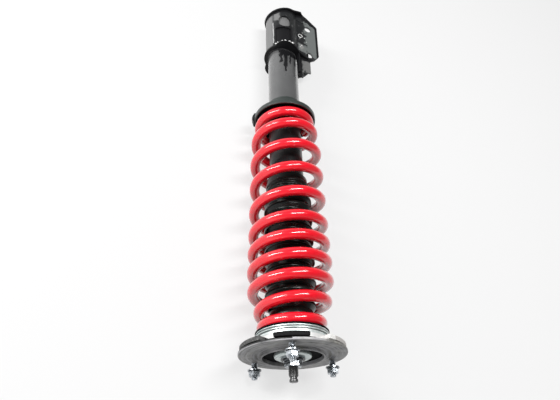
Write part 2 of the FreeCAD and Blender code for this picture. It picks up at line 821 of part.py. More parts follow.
# Tube, its end cap, and what closes it round the rod
turned("strut_tube", [
    ("tube_in", "tube_start"),
    ("tube_r", "tube_start"),
    ("tube_r", "tube_end"),
    ("tube_in", "tube_end"),
])
turned("tube_end_cap", [
    ("0", "cap_top"),
    ("10", "cap_top - 0.4"),
    ("18", "cap_top - 2"),
    ("tube_in", "tube_end"),
    ("tube_in", "cap_start"),
    ("tube_in - cap_t", "cap_start"),
    ("tube_in - cap_t", "tube_end - 2.5"),
    ("13", "cap_top - cap_t - 1"),
    ("0", "cap_top - cap_t"),
])
turned("bump_cap", [
    ("bush_r", "bump_cap_y"),
    ("bump_cap_r - 0.5", "bump_cap_y"),
    ("bump_cap_r", "bump_cap_y + 0.5"),
    ("bump_cap_r", "bump_cap_end"),
    ("tube_r", "bump_cap_end"),
    ("tube_r", "tube_start"),
    ("bush_r", "tube_start"),
])
turned("gland_nut", [
    ("gland_in", "tube_start"),
    ("tube_in", "tube_start"),
    ("tube_in", "gland_end"),
    ("gland_in", "gland_end"),
])
turned("rod_seal", [
    ("rod_r + rod_fit", "gland_end"),
    ("tube_in", "gland_end"),
    ("tube_in", "guide_start"),
    ("rod_r + rod_fit", "guide_start"),
])
turned("rod_guide", [
    ("bush_r", "guide_start"),
    ("tube_in", "guide_start"),
    ("tube_in", "guide_step"),
    ("work_r", "guide_step"),
    ("work_r", "guide_end"),
    ("bush_r", "guide_end"),
])
turned("guide_bush", [
    ("rod_r + rod_fit", "guide_start"),
    ("bush_r", "guide_start"),
    ("bush_r", "guide_end"),
    ("rod_r + rod_fit", "guide_end"),
])
turned("pressure_tube", [
    ("work_r", "guide_step"),
    ("work_r + work_t", "guide_step"),
    ("work_r + work_t", "work_end"),
    ("work_r", "work_end"),
])
foot_valve = turned("foot_valve", [
    ("0", "work_end - 6"),
    ("work_r", "work_end - 6"),
    ("work_r", "work_end"),
    ("tube_in - 0.3", "work_end"),
    ("tube_in - 0.3", "cap_start"),
    ("tube_in - cap_t", "cap_start"),
    ("tube_in - cap_t", "work_end + 5"),
    ("0", "work_end + 5"),
])
foot_port = pocket(foot_valve, "foot_port", lambda s: ring(s, ("10", "0"), "2"), "work_end - 7", "work_end + 6")
around(foot_valve, "foot_ports", [foot_port], 4)

# Rod with a thread and a groove at its tip, and its stops
turned("damper_rod", [
    ("0", "- rod_tip"),
    ("rod_pin_r - 1.6", "- rod_tip"),
    ("rod_pin_r - 1", "- rod_tip + 0.6"),
    ("rod_pin_r - 1", "- rod_tip + 3"),
    ("rod_pin_r - 1.6", "- rod_tip + 3.6"),
    ("rod_pin_r - 1.6", "- rod_tip + 5.4"),
    ("rod_pin_r", "- rod_tip + 6.4"),
    ("rod_pin_r", "rod_step"),
    ("rod_r", "rod_step"),
    ("rod_r", "rod_low_step"),
    ("rod_pin_r", "rod_low_step"),
    ("rod_pin_r", "rod_end - 1"),
    ("rod_pin_r - 1", "rod_end"),
    ("0", "rod_end"),
])
turned("bump_stop", [
    ("rod_r", "bump_start"),
    ("bump_r - 2", "bump_start"),
    ("bump_r", "bump_start + 3"),
    ("bump_r", "bump_start + 12"),
    ("bump_r - 3.5", "bump_start + 16"),
    ("bump_r", "bump_start + 20"),
    ("bump_r", "bump_start + 30"),
    ("bump_r - 3.5", "bump_start + 34"),
    ("bump_r - 1.5", "bump_start + 38"),
    ("bump_r - 3", "bump_start + 46"),
    ("bump_r - 7", "bump_start + 50"),
    ("rod_r", "bump_start + 50"),
])
turned("rebound_stop", [
    ("rod_r", "guide_end + rebound_gap"),
    ("rod_r + 4.5", "guide_end + rebound_gap"),
    ("rod_r + 4.5", "guide_end + rebound_gap + 6"),
    ("rod_r", "guide_end + rebound_gap + 6"),
])

# Piston with its band, valve discs and nut
piston = turned("piston", [
    ("rod_pin_r", "piston_start"),
    ("piston_r", "piston_start"),
    ("piston_r", "piston_start + 3"),
    ("band_in", "piston_start + 3"),
    ("band_in", "piston_end - 3"),
    ("piston_r", "piston_end - 3"),
    ("piston_r", "piston_end"),
    ("rod_pin_r", "piston_end"),
])
piston_port = pocket(piston, "piston_port", lambda s: ring(s, ("11", "0"), "1.6"), "piston_start - 1", "piston_end + 1")
around(piston, "piston_ports", [piston_port], 6)
turned("piston_band", [
    ("band_in", "piston_start + 3"),
    ("band_r", "piston_start + 3"),
    ("band_r", "piston_end - 3"),
    ("band_in", "piston_end - 3"),
])
turned("compression_disc", [
    ("rod_pin_r", "rod_low_step"),
    ("disc_r", "rod_low_step"),
    ("disc_r", "piston_start"),
    ("rod_pin_r", "piston_start"),
])
turned("rebound_disc", [
    ("rod_pin_r", "piston_end"),
    ("disc_r", "piston_end"),
    ("disc_r", "nut_seat"),
    ("rod_pin_r", "nut_seat"),
])
piston_nut = body_for("piston_nut")
pad(piston_nut, "piston_nut_hex", lambda s: hexagon(s, AXIS, "piston_nut_corner"),
    "nut_seat", "piston_nut_end")
pocket(piston_nut, "piston_nut_bore", lambda s: ring(s, AXIS, "rod_pin_r + 0.05"),
       "piston_end", "piston_nut_end + 1")

# Dust boot: a collar on the seat's neck, folds, and a mouth round the bump cap


def fold_peak(index):
    # the first folds stay clear of the small end turn of the spring
    return size("boot_peak") - max(0.0, 3.6 - 1.8 * index)


def boot_profile():
    folds = int(size("boot_folds"))
    pitch = (amount("boot_last") - amount("boot_first")) / folds
    wall = size("boot_t")
    first = "(" + bound("boot_first") + ")"
    step = "((" + bound("boot_last") + ") - " + first + ") / sizes.boot_folds"
    outer = [("neck_r + boot_t + 0.6", "boot_start"), ("neck_r + boot_t + 0.6", "boot_first - 2")]
    inner = [("neck_r", "boot_start"), ("neck_r", "boot_first - 2")]
    for i in range(folds):
        peak = fold_peak(i)
        less = "%g" % (size("boot_peak") - peak)
        for part, drop in ((0.0, 1.0), (0.35, 0.0), (0.55, 0.0)):
            r = peak - size("boot_fold") * drop
            y = amount("boot_first") + pitch * (i + part)
            r_text = "sizes.boot_peak - %s - sizes.boot_fold * %g" % (less, drop)
            y_text = "%s + %s * %g" % (first, step, i + part)
            outer.append(((r, r_text), (y, y_text)))
            inner.append(((r - wall, r_text + " - sizes.boot_t"), (y, y_text)))
    outer.append(("bump_cap_r + boot_fit + boot_t", "boot_last"))
    outer.append(("bump_cap_r + boot_fit + boot_t", "boot_end - 14"))
    outer.append(("boot_mouth", "boot_end - 11"))
    outer.append(("boot_mouth", "boot_end"))
    inner.append(("bump_cap_r + boot_fit", "boot_last"))
    inner.append(("bump_cap_r + boot_fit", "boot_end - 14"))
    inner.append(("boot_mouth - boot_t", "boot_end - 11"))
    inner.append(("boot_mouth - boot_t", "boot_end"))
    return outer + inner[::-1]


turned("dust_boot", boot_profile())

# Knuckle bracket. A solid block of wrap and ears is trimmed to its side
# outline, gets its rims, and is then opened for the tube and the knuckle.
knuckle_bracket = body_for("knuckle_bracket")
pad(knuckle_bracket, "wrap", lambda s: ring(s, AXIS, "tube_r + sheet_t"), "rim_near - 17", "rim_far + 16")
pad(knuckle_bracket, "ears", lambda s: outline(s, [
    ("2", "- tube_r - 3.2"),
    ("9", "- ear_half - 5.4"),
    ("18.5", "- ear_half"),
    ("ear_reach", "- ear_half"),
    ("ear_reach", "ear_half"),
    ("18.5", "ear_half"),
    ("9", "ear_half + 5.4"),
    ("2", "tube_r + 3.2"),
]), "rim_near - 17", "rim_far + 16")


def slope_y(base, x, sign):
    # height on a slanted rim plane at the given x
    return (amount(base) + sign * size("rim_slope") * amount(x),
            "%s + (%g) * sizes.rim_slope * (%s)" % (bound(base), sign, bound(x)))


def trim_low(sketch):
    outline(sketch, [
        ("- 45", "rim_near - 19"),
        ("ear_reach + 3.6", "rim_near - 19"),
        ("ear_reach + 3.6", "bolt_near + 2.6"),
        ("ear_reach", "bolt_near + 2.6"),
        ("ear_reach - 8", "bolt_near - 8"),
        ("ear_reach - 19.9", slope_y("rim_near", "ear_reach - 19.9", -1.0)),
        ("- 45", slope_y("rim_near", "- 45", -1.0)),
    ])


def trim_high(sketch):
    outline(sketch, [
        ("- 45", slope_y("rim_far", "- 45", 1.0)),
        ("tube_r + 7.2", slope_y("rim_far", "tube_r + 7.2", 1.0)),
        ("bolt_x - 1", "bolt_far + 27.8"),
        ("ear_reach - 1.4", "bolt_far + 11.7"),
        ("ear_reach", "bolt_far + 9.5"),
        ("ear_reach + 3.6", "bolt_far + 9.5"),
        ("ear_reach + 3.6", "rim_far + 18"),
        ("- 45", "rim_far + 18"),
    ])


pocket(knuckle_bracket, "near_trim", trim_low, "- wrap_out - 4.3", "wrap_out + 4.3", "XY_Plane")
pocket(knuckle_bracket, "far_trim", trim_high, "- wrap_out - 4.3", "wrap_out + 4.3", "XY_Plane")
TILT = math.degrees(math.atan(size("rim_slope")))


def rim_pad(name, draw, base, tilt, back):
    sketch = sketch_on(knuckle_bracket, name + "_sketch", "XZ_Plane", base, tilt)
    draw(sketch)
    feature = knuckle_bracket.newObject("PartDesign::Pad", name)
    feature.Profile = sketch
    feature.setExpression("Length", "sizes.sheet_t")
    feature.Reversed = back
    knuckle_bracket.Tip = feature


rim_pad("far_rim_round", lambda s: ring(s, AXIS, "far_rim_r"), "rim_far", TILT, False)
rim_pad("far_rim_lip", lambda s: outline(s, [
    ("0", "- ear_half - 8"),
    ("14", "- ear_half - 7"),
    ("tube_r + 2.7", "- ear_half - 6"),
    ("tube_r + 7.2", "- ear_half - 1"),
    ("tube_r + 7.2", "ear_half + 1"),
    ("tube_r + 2.7", "ear_half + 6"),
    ("14", "ear_half + 7"),
    ("0", "ear_half + 8"),
]), "rim_far", TILT, False)
rim_pad("near_rim_round", lambda s: ring(s, AXIS, "near_rim_r"), "rim_near", -TILT, True)
rim_pad("near_rim_left", lambda s: ring(s, ("- 4", "lobe_shift"), "near_lobe_r"), "rim_near", -TILT, True)
rim_pad("near_rim_right", lambda s: ring(s, ("- 4", "- lobe_shift"), "near_lobe_r"), "rim_near", -TILT, True)
rim_pad("near_rim_lip", lambda s: outline(s, [
    ("0", "- ear_half - 17.6"),
    ("8", "- ear_half - 16.5"),
    ("18", "- ear_half - 10.2"),
    ("tube_r + 4.7", "- ear_half - 6"),
    ("tube_r + 11.7", "- ear_half - 5"),
    ("tube_r + 14.7", "- ear_half - 1"),
    ("tube_r + 14.7", "ear_half + 1"),
    ("tube_r + 11.7", "ear_half + 5"),
    ("tube_r + 4.7", "ear_half + 6"),
    ("18", "ear_half + 10.2"),
    ("8", "ear_half + 16.5"),
    ("0", "ear_half + 17.6"),
]), "rim_near", -TILT, True)
pocket(knuckle_bracket, "tube_bore", lambda s: ring(s, AXIS, "tube_r"), "rim_near - 19", "rim_far + 18")
pocket(knuckle_bracket, "knuckle_gap", lambda s: outline(s, [
    ("12", "- ear_half + sheet_t"),
    ("ear_reach + 5.6", "- ear_half + sheet_t"),
    ("ear_reach + 5.6", "ear_half - sheet_t"),
    ("12", "ear_half - sheet_t"),
]), "rim_near - 19", "rim_far + 18")
pocket(knuckle_bracket, "near_bolt_hole", lambda s: ring(s, ("bolt_x", "bolt_near"), "bolt_hole_r"),
       "- ear_half - 9.2", "ear_half + 9.2", "XY_Plane")
pocket(knuckle_bracket, "far_bolt_hole", lambda s: ring(s, ("bolt_x", "bolt_far"), "bolt_hole_r"),
       "- ear_half - 9.2", "ear_half + 9.2", "XY_Plane")
pocket(knuckle_bracket, "windows", lambda s: oblong(s, "window_x", "window_low", "window_high", "window_r"),
       "- wrap_out - 6.3", "wrap_out + 6.3", "XY_Plane")


def flank_panel(name, turn):
    # shallow recess in the wrap, turned about the strut axis
    sketch = sketch_on(knuckle_bracket, name + "_sketch", "XY_Plane", "0", -turn)
    outline(sketch, [
        ("wrap_out - panel_depth", "rim_near + 21"),
        ("wrap_out + 4", "rim_near + 21"),
        ("wrap_out + 4", "rim_far - 48"),
        ("wrap_out - panel_depth", "rim_far - 48"),
    ])
    feature = knuckle_bracket.newObject("PartDesign::Groove", name)
    feature.Profile = sketch
    feature.ReferenceAxis = (sketch, ["V_Axis"])
    feature.setExpression("Angle", "sizes.panel_span")
    feature.Midplane = True
    knuckle_bracket.Tip = feature


def ear_panel(sketch):
    outline(sketch, [
        ("bolt_x - 20.7", "bolt_near + 28"),
        ("bolt_x - 9.7", "bolt_near + 31"),
        ("bolt_x - 9.7", "bolt_far - 3"),
        ("bolt_x - 5.7", "bolt_far + 12"),
        ("bolt_x - 20.7", "bolt_far + 16"),
    ])


flank_panel("left_flank_panel", size("panel_turn"))
flank_panel("right_flank_panel", - size("panel_turn"))
pocket(knuckle_bracket, "left_ear_panel", ear_panel, "ear_half - 0.8", "ear_half + 2", "XY_Plane")
pocket(knuckle_bracket, "right_ear_panel", ear_panel, "- ear_half - 2", "- ear_half + 0.8", "XY_Plane")
pocket(knuckle_bracket, "pilot_hole", lambda s: ring(s, ("bolt_x - 14.7", "bolt_near + 42"), "3"),
       "- ear_half - 3.2", "ear_half + 3.2", "XY_Plane")

# Channel plate welded between the ears
bracket_inner_plate = body_for("bracket_inner_plate")
pad(bracket_inner_plate, "channel", lambda s: outline(s, [
    ("channel_x", "- ear_half + sheet_t"),
    ("channel_out", "- ear_half + sheet_t"),
    ("channel_out", "- ear_half + sheet_t + channel_t"),
    ("channel_x + channel_t", "- ear_half + sheet_t + channel_t"),
    ("channel_x + channel_t", "ear_half - sheet_t - channel_t"),
    ("channel_out", "ear_half - sheet_t - channel_t"),
    ("channel_out", "ear_half - sheet_t"),
    ("channel_x", "ear_half - sheet_t"),
]), "channel_low", "channel_high")

# Forked hose bracket, welded to the near rim
hose_bracket = body_for("hose_bracket")
pad(hose_bracket, "fork", lambda s: outline(s, [
    ("hose_left", "hose_tip + 4"),
    ("hose_left + 3", "hose_tip"),
    ("hose_left + 9.5", "hose_tip"),
    ("hose_left + 10", "hose_tip + 13"),
    ("hose_left + 13", "hose_tip + 17"),
    ("hose_left + 16.5", "hose_tip + 13"),
    ("hose_right", "hose_tip + 13"),
    ("hose_right", slope_y("rim_near", "hose_right", -1.0)),
    ("hose_left", slope_y("rim_near", "hose_left", -1.0)),
]), "ear_half", "ear_half + hose_t", "XY_Plane")
pad(hose_bracket, "side_wall", lambda s: outline(s, [
    ("hose_left", "hose_tip + 6"),
    ("hose_left + hose_t", "hose_tip + 6"),
    ("hose_left + hose_t", slope_y("rim_near", "hose_left + hose_t", -1.0)),
    ("hose_left", slope_y("rim_near", "hose_left", -1.0)),
]), "ear_half", "hose_wall", "XY_Plane")

doc.recompute()

# Every object and every shape is checked before anything is written
for thing in doc.Objects:
    for mark in ("Invalid", "Error"):
        if mark in thing.State:
            raise RuntimeError(thing.Name + " is " + mark)
for piece in pieces:
    if piece.Shape.isNull() or not piece.Shape.isValid():
        raise RuntimeError(piece.Label + " has no valid shape")

os.makedirs("parts", exist_ok=True)
for piece in pieces:
    piece.Shape.exportStep(os.path.join("parts", piece.Label + ".step"))
    print("%-22s solids %2d  volume %10.0f mm3" % (piece.Label, len(piece.Shape.Solids), piece.Shape.Volume))
print("pieces:", len(pieces))
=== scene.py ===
# %% [markdown]
# # A suspension strut, from frame to picture
# The strut lies on a pale studio floor. Its damper tube and knuckle bracket are
# at the far end, a red coil spring wraps the middle, and the round top mount
# with its studs faces the camera. The measured model gives each piece its place
# and its motion. This lesson dresses it: smoother forms where light would show
# a flat facet, and a finish for every surface.

# %% Load the frame
import bpy
import bmesh
import json
import math
from mathutils import Matrix, Vector


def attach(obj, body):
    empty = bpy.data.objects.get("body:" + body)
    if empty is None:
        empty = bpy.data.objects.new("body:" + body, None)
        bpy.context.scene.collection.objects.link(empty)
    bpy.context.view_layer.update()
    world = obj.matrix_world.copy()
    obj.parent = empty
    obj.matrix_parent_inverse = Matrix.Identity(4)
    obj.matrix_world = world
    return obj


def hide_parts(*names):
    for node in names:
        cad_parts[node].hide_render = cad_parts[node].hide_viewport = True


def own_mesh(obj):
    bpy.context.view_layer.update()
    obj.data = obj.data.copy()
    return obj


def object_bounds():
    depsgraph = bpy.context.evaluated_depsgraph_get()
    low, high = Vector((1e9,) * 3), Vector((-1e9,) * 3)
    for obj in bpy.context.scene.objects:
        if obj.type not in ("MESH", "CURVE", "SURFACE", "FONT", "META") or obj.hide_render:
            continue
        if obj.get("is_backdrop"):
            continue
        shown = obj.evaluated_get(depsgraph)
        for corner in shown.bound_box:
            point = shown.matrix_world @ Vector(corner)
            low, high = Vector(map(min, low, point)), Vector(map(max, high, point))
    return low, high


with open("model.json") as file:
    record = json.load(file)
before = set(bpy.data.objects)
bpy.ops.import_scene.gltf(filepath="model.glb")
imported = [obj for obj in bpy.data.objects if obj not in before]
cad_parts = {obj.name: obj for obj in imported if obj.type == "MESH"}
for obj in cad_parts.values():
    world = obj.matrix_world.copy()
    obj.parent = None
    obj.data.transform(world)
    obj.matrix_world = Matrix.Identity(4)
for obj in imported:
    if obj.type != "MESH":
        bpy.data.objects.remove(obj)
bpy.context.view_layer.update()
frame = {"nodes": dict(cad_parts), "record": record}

# %% [markdown]
# ## Units and small tools
# The strut axis is +Y and the mount's face is at y = 0. The pieces are given in
# millimetres, as a maker would read them from a drawing, so short functions turn
# a length, a point and a point on a circle round the axis into metres.

# %% Millimetres
MM = 0.001
FULL_TURN = 2.0 * math.pi


def mm(value):
    return value * MM


def point(x, y, z):
    return Vector((mm(x), mm(y), mm(z)))


def ring_point(radius, angle, height, middle=(0.0, 0.0)):
    # a place at an angle round the strut axis, or round another line along it
    return point(middle[0] + radius * math.cos(angle), height, middle[1] + radius * math.sin(angle))


print("one millimetre is", mm(1.0), "of a metre")

# %% [markdown]
# ## Camera
# The picture was taken from above the mount end, looking along the strut, so
# near parts look much larger than far ones. The camera's place and turn were
# fitted to the plate's ellipse, to the coils and to the bracket's edges. A lens
# of 34.6 mm on a 36 mm sensor gives the same perspective.

# %% Camera
CAMERA_PLACE = (-259.95, -177.9, 597.75)
CAMERA_RIGHT = (0.921179, -0.033596, 0.387685)
CAMERA_UP = (-0.175816, 0.852851, 0.491665)
CAMERA_BACK = (-0.347155, -0.521073, 0.779722)
SENSOR, LENS, SHIFT = 36.0, 34.62, -0.0205

camera_data = bpy.data.cameras.new("studio_camera")
camera = bpy.data.objects.new("studio_camera", camera_data)
bpy.context.scene.collection.objects.link(camera)
turn = Matrix((CAMERA_RIGHT, CAMERA_UP, CAMERA_BACK)).transposed().to_4x4()
camera.matrix_world = Matrix.Translation(point(*CAMERA_PLACE)) @ turn
camera_data.sensor_width = SENSOR
camera_data.lens = LENS
camera_data.shift_x = SHIFT
camera_data.clip_start = 0.01
camera_data.clip_end = 50.0
bpy.context.scene.camera = camera
print("camera at", [round(v, 3) for v in camera.location])

# %% [markdown]
# ## Shared effects
# Real surfaces are never one flat colour. Five effects come back in the
# finishes below, so each is a node group. A group gives out only masks and
# heights, and each material decides what it does with them. Small functions
# make a group, set an input to a number or a link, stretch a value from one
# range to another, do sums and add a noise.

# %% Tools for node groups


def new_group(name, inputs, output):
    group = bpy.data.node_groups.new(name, "ShaderNodeTree")
    for label, value in inputs:
        socket = group.interface.new_socket(label, in_out="INPUT", socket_type="NodeSocketFloat")
        socket.default_value = value
    group.interface.new_socket(output, in_out="OUTPUT", socket_type="NodeSocketFloat")
    enter = group.nodes.new("NodeGroupInput")
    leave = group.nodes.new("NodeGroupOutput")
    where = group.nodes.new("ShaderNodeTexCoord")
    return group, enter.outputs, leave.inputs[output], where.outputs["Object"]


def feed(tree, socket, value):
    # a number is set, and anything else is linked
    if isinstance(value, float):
        socket.default_value = value
    else:
        tree.links.new(value, socket)


def span(tree, source, low, high, new_low, new_high):
    remap = tree.nodes.new("ShaderNodeMapRange")
    feed(tree, remap.inputs["Value"], source)
    for label, value in (("From Min", low), ("From Max", high), ("To Min", new_low), ("To Max", new_high)):
        feed(tree, remap.inputs[label], value)
    return remap.outputs["Result"]


def maths(tree, operation, first, second, clamp=False):
    node = tree.nodes.new("ShaderNodeMath")
    node.operation = operation
    node.use_clamp = clamp
    feed(tree, node.inputs[0], first)
    feed(tree, node.inputs[1], second)
    return node.outputs[0]


def noise_value(tree, vector, size, detail, roughness=0.5):
    noise = tree.nodes.new("ShaderNodeTexNoise")
    for label, value in (("Vector", vector), ("Scale", size), ("Detail", detail), ("Roughness", roughness)):
        feed(tree, noise.inputs[label], value)
    return noise.outputs["Fac"]


def split(tree, vector):
    axes = tree.nodes.new("ShaderNodeSeparateXYZ")
    feed(tree, axes.inputs[0], vector)
    return axes.outputs


def joined(tree, x, y, z):
    vector = tree.nodes.new("ShaderNodeCombineXYZ")
    for label, value in (("X", x), ("Y", y), ("Z", z)):
        feed(tree, vector.inputs[label], value)
    return vector.outputs[0]


TOOLS = (new_group, feed, span, maths, noise_value, split, joined)
print("tools for node groups:", [tool.__name__ for tool in TOOLS])

# %% [markdown]
# ## Tone drift and grain
# Paint, rubber and plating vary slowly in tone from uneven coats and handling.
# One soft noise gives that drift. A second, much finer noise gives the height
# of the grain that a bump node turns into tiny dents.

# %% Drift and grain
tone_drift, enter, leave, where = new_group("tone_drift", [("Size", 30.0), ("Patchiness", 2.0)], "Mask")
patches = noise_value(tone_drift, where, enter["Size"], enter["Patchiness"])
feed(tone_drift, leave, span(tone_drift, patches, 0.3, 0.7, 0.0, 1.0))

fine_grain, enter, leave, where = new_group("fine_grain", [("Size", 900.0), ("Depth", 1.0)], "Height")
grain = noise_value(fine_grain, where, enter["Size"], 3.0)
feed(fine_grain, leave, maths(fine_grain, "MULTIPLY", grain, enter["Depth"]))
print("groups so far:", [group.name for group in bpy.data.node_groups])

# %% [markdown]
# ## Scuffs and turning marks
# Handling leaves short worn strokes. They are a noise stretched along the
# piece, of which only the peaks are kept. A lathe leaves rings, so the second
# noise runs fast along the radius and slowly round the axis.

# %% Scuffs and rings
scuffs, enter, leave, where = new_group("scuffs", [("Size", 60.0), ("Stretch", 6.0), ("Amount", 0.5)], "Mask")
drawn_out = scuffs.nodes.new("ShaderNodeVectorMath")
drawn_out.operation = "MULTIPLY"
feed(scuffs, drawn_out.inputs[0], where)
feed(scuffs, drawn_out.inputs[1], joined(scuffs, 1.0, 1.0, enter["Stretch"]))
rubs = noise_value(scuffs, drawn_out.outputs[0], enter["Size"], 6.0, 0.7)
strokes = span(scuffs, rubs, 0.58, 0.72, 0.0, 1.0)
feed(scuffs, leave, maths(scuffs, "MULTIPLY", strokes, enter["Amount"]))

turned_marks, enter, leave, where = new_group("turned_marks", [("Size", 60.0), ("Stretch", 9.0)], "Mask")
axes = split(turned_marks, where)
squares = maths(turned_marks, "ADD", maths(turned_marks, "MULTIPLY", axes["X"], axes["X"]),
                maths(turned_marks, "MULTIPLY", axes["Z"], axes["Z"]))
reach = maths(turned_marks, "POWER", squares, 0.5)
rings = joined(turned_marks, maths(turned_marks, "MULTIPLY", reach, enter["Stretch"]), axes["X"], axes["Z"])
lines = noise_value(turned_marks, rings, enter["Size"], 4.0, 0.65)
feed(turned_marks, leave, span(turned_marks, lines, 0.40, 0.64, 0.0, 1.0))
print("groups so far:", [group.name for group in bpy.data.node_groups])

# %% [markdown]
# ## Zones
# Painted shade, painted light and painted highlights each fill one stretch of a
# piece. A zone picks that stretch out by its place on the strut, between two
# limits across and two along. The limits along can slant, and a noise can fray
# them.

# %% Zone
ZONE_INPUTS = [
    ("Low X", -1.0), ("High X", 1.0), ("Low Y", -1.0), ("High Y", 1.0), ("Slant", 0.0), ("Soft", 0.001),
    ("Ragged", 0.0)]
FRAY_SIZE = 140.0

zone, enter, leave, where = new_group("zone", ZONE_INPUTS, "Mask")
axes = split(zone, where)
fray = noise_value(zone, where, FRAY_SIZE, 3.0)
ripple = maths(zone, "MULTIPLY", maths(zone, "SUBTRACT", fray, 0.5), enter["Ragged"])
across = maths(zone, "ADD", axes["X"], ripple)
slanted = maths(zone, "MULTIPLY", axes["X"], enter["Slant"])
along = maths(zone, "ADD", maths(zone, "ADD", axes["Y"], slanted), ripple)
inside = []
for value, low, high in ((across, enter["Low X"], enter["High X"]), (along, enter["Low Y"], enter["High Y"])):
    above = maths(zone, "DIVIDE", maths(zone, "SUBTRACT", value, low), enter["Soft"], True)
    below = maths(zone, "DIVIDE", maths(zone, "SUBTRACT", high, value), enter["Soft"], True)
    inside.append(maths(zone, "MULTIPLY", above, below))
feed(zone, leave, maths(zone, "MULTIPLY", *inside))
print("all groups:", [group.name for group in bpy.data.node_groups])

# %% [markdown]
# ## Finishes
# Each finish is a Principled surface. Tone drift blends two near colours, the
# scuffs show a lighter rub, and the grain feeds a bump. Paint and powder coat
# get a clear coat layer, which keeps the highlight sharp while the colour
# beneath stays soft. Zones lay painted shade or painted light over one stretch,
# and the painted shade has no clear coat.

# %% Finish builder
PAINTED_SHADE = (0.008, 0.008, 0.009)     # painted shade: inside the spring, under the rim, along edges and in grooves


def area(colour, x=None, y=None, soft=1.0, ragged=0.0, slant=0.0):
    # the colour of a zone and its limits across and along, in millimetres
    limits = {"Slant": slant, "Soft": mm(soft), "Ragged": mm(ragged)}
    for axis, places in (("X", x), ("Y", y)):
        if places:
            limits["Low " + axis], limits["High " + axis] = mm(places[0]), mm(places[1])
    return limits, colour


def use_group(tree, group, values):
    node = tree.nodes.new("ShaderNodeGroup")
    node.node_tree = group
    for label, value in values.items():
        node.inputs[label].default_value = value
    return node.outputs[0]


def tinted(tree, below, mask, colour):
    # lays a colour over the one below, where the mask is high
    mix = tree.nodes.new("ShaderNodeMix")
    mix.data_type = "RGBA"
    mix.inputs[7].default_value = (*colour, 1.0)
    tree.links.new(mask, mix.inputs[0])
    if isinstance(below, tuple):
        mix.inputs[6].default_value = (*below, 1.0)
    else:
        tree.links.new(below, mix.inputs[6])
    return mix.outputs[2]


def finish(name, colour, second, rough=(0.3, 0.45), metallic=0.0, specular=0.5, ior=1.5, coat=0.0,
           coat_rough=0.05, drift_size=30.0, grain_size=900.0, grain_depth=0.0002, scuff=0.0, scuff_size=60.0,
           scuff_colour=None, stretch=6.0, streak=None, streak_size=60.0, streak_stretch=9.0, zones=()):
    material = bpy.data.materials.new(name)
    material.use_nodes = True
    tree = material.node_tree
    surface = tree.nodes["Principled BSDF"].inputs
    for label, value in (("Metallic", metallic), ("Specular IOR Level", specular), ("IOR", ior),
                         ("Coat Weight", coat), ("Coat Roughness", coat_rough)):
        surface[label].default_value = value
    drift = use_group(tree, tone_drift, {"Size": drift_size, "Patchiness": 3.0})
    tint = tinted(tree, colour, drift, second)
    matt = span(tree, drift, 0.0, 1.0, rough[0], rough[1])
    if streak:
        lines = use_group(tree, turned_marks, {"Size": streak_size, "Stretch": streak_stretch})
        tint = tinted(tree, tint, lines, streak)
    if scuff > 0.0:
        marks = use_group(tree, scuffs, {"Size": scuff_size, "Stretch": stretch, "Amount": scuff})
        tint = tinted(tree, tint, marks, scuff_colour)
    gloss = coat
    for limits, zone_colour in zones:
        mask = use_group(tree, zone, limits)
        tint = tinted(tree, tint, mask, zone_colour)
        if zone_colour == PAINTED_SHADE and coat > 0.0:
            # painted shade gets no clear coat
            gloss = maths(tree, "MULTIPLY", gloss, maths(tree, "SUBTRACT", 1.0, mask))
    if coat > 0.0:
        feed(tree, surface["Coat Weight"], gloss)
    feed(tree, surface["Base Color"], tint)
    feed(tree, surface["Roughness"], matt)
    if grain_depth > 0.0:
        bump = tree.nodes.new("ShaderNodeBump")
        bump.inputs["Strength"].default_value = 1.0
        bump.inputs["Distance"].default_value = grain_depth
        feed(tree, bump.inputs["Height"], use_group(tree, fine_grain, {"Size": grain_size, "Depth": 1.0}))
        feed(tree, surface["Normal"], bump.outputs["Normal"])
    return material


# the colour of the painted shade
print("colour of a paint run:", PAINTED_SHADE)

# %% [markdown]
# ## Powder coat and paint
# The spring is powder coated in glossy red. The tube and the bracket are
# painted black, and zones paint the studio's light and shade on them: pale
# fields where light falls, a painted highlight on an edge, and painted shade
# under the bracket's rim, along its edges and inside the spring.

# %% Painted finishes
red_powder_coat = finish(
    "red_powder_coat", (0.84, 0.008, 0.024), (0.76, 0.005, 0.016), rough=(0.16, 0.22), specular=0.45,
    coat=1.0, coat_rough=0.03, drift_size=25.0, grain_size=500.0, grain_depth=0.00003)

TUBE_ZONES = [
    # painted shade inside the spring, and painted light at the far end
    area(PAINTED_SHADE, y=(0.0, 366.0), soft=2.0),
    area((0.15, 0.15, 0.15), y=(540.0, 700.0), soft=2.0)]
# painted shade in streaks below the bracket's near rim: left, right, lowest and highest place, softness and
# fray
for left, right, low, high, soft, ragged in [
        (-14.5, 13.0, 482.0, 520.0, 1.5, 12.0), (-14.0, -9.0, 467.0, 500.0, 1.2, 6.0),
        (-8.5, -1.0, 458.0, 500.0, 1.2, 6.0), (-7.0, -3.0, 447.0, 500.0, 1.0, 4.0),
        (1.0, 5.5, 466.0, 500.0, 1.2, 5.0), (10.0, 16.0, 466.0, 500.0, 1.5, 5.0)]:
    TUBE_ZONES.append(area(PAINTED_SHADE, (left, right), (low, high), soft, ragged))
black_gloss_paint = finish(
    "black_gloss_paint", (0.096, 0.097, 0.098), (0.078, 0.079, 0.080), rough=(0.25, 0.34), specular=0.4,
    coat=1.0, coat_rough=0.12, grain_size=400.0, grain_depth=0.00005, scuff=0.25,
    scuff_colour=(0.15, 0.15, 0.15), zones=TUBE_ZONES)

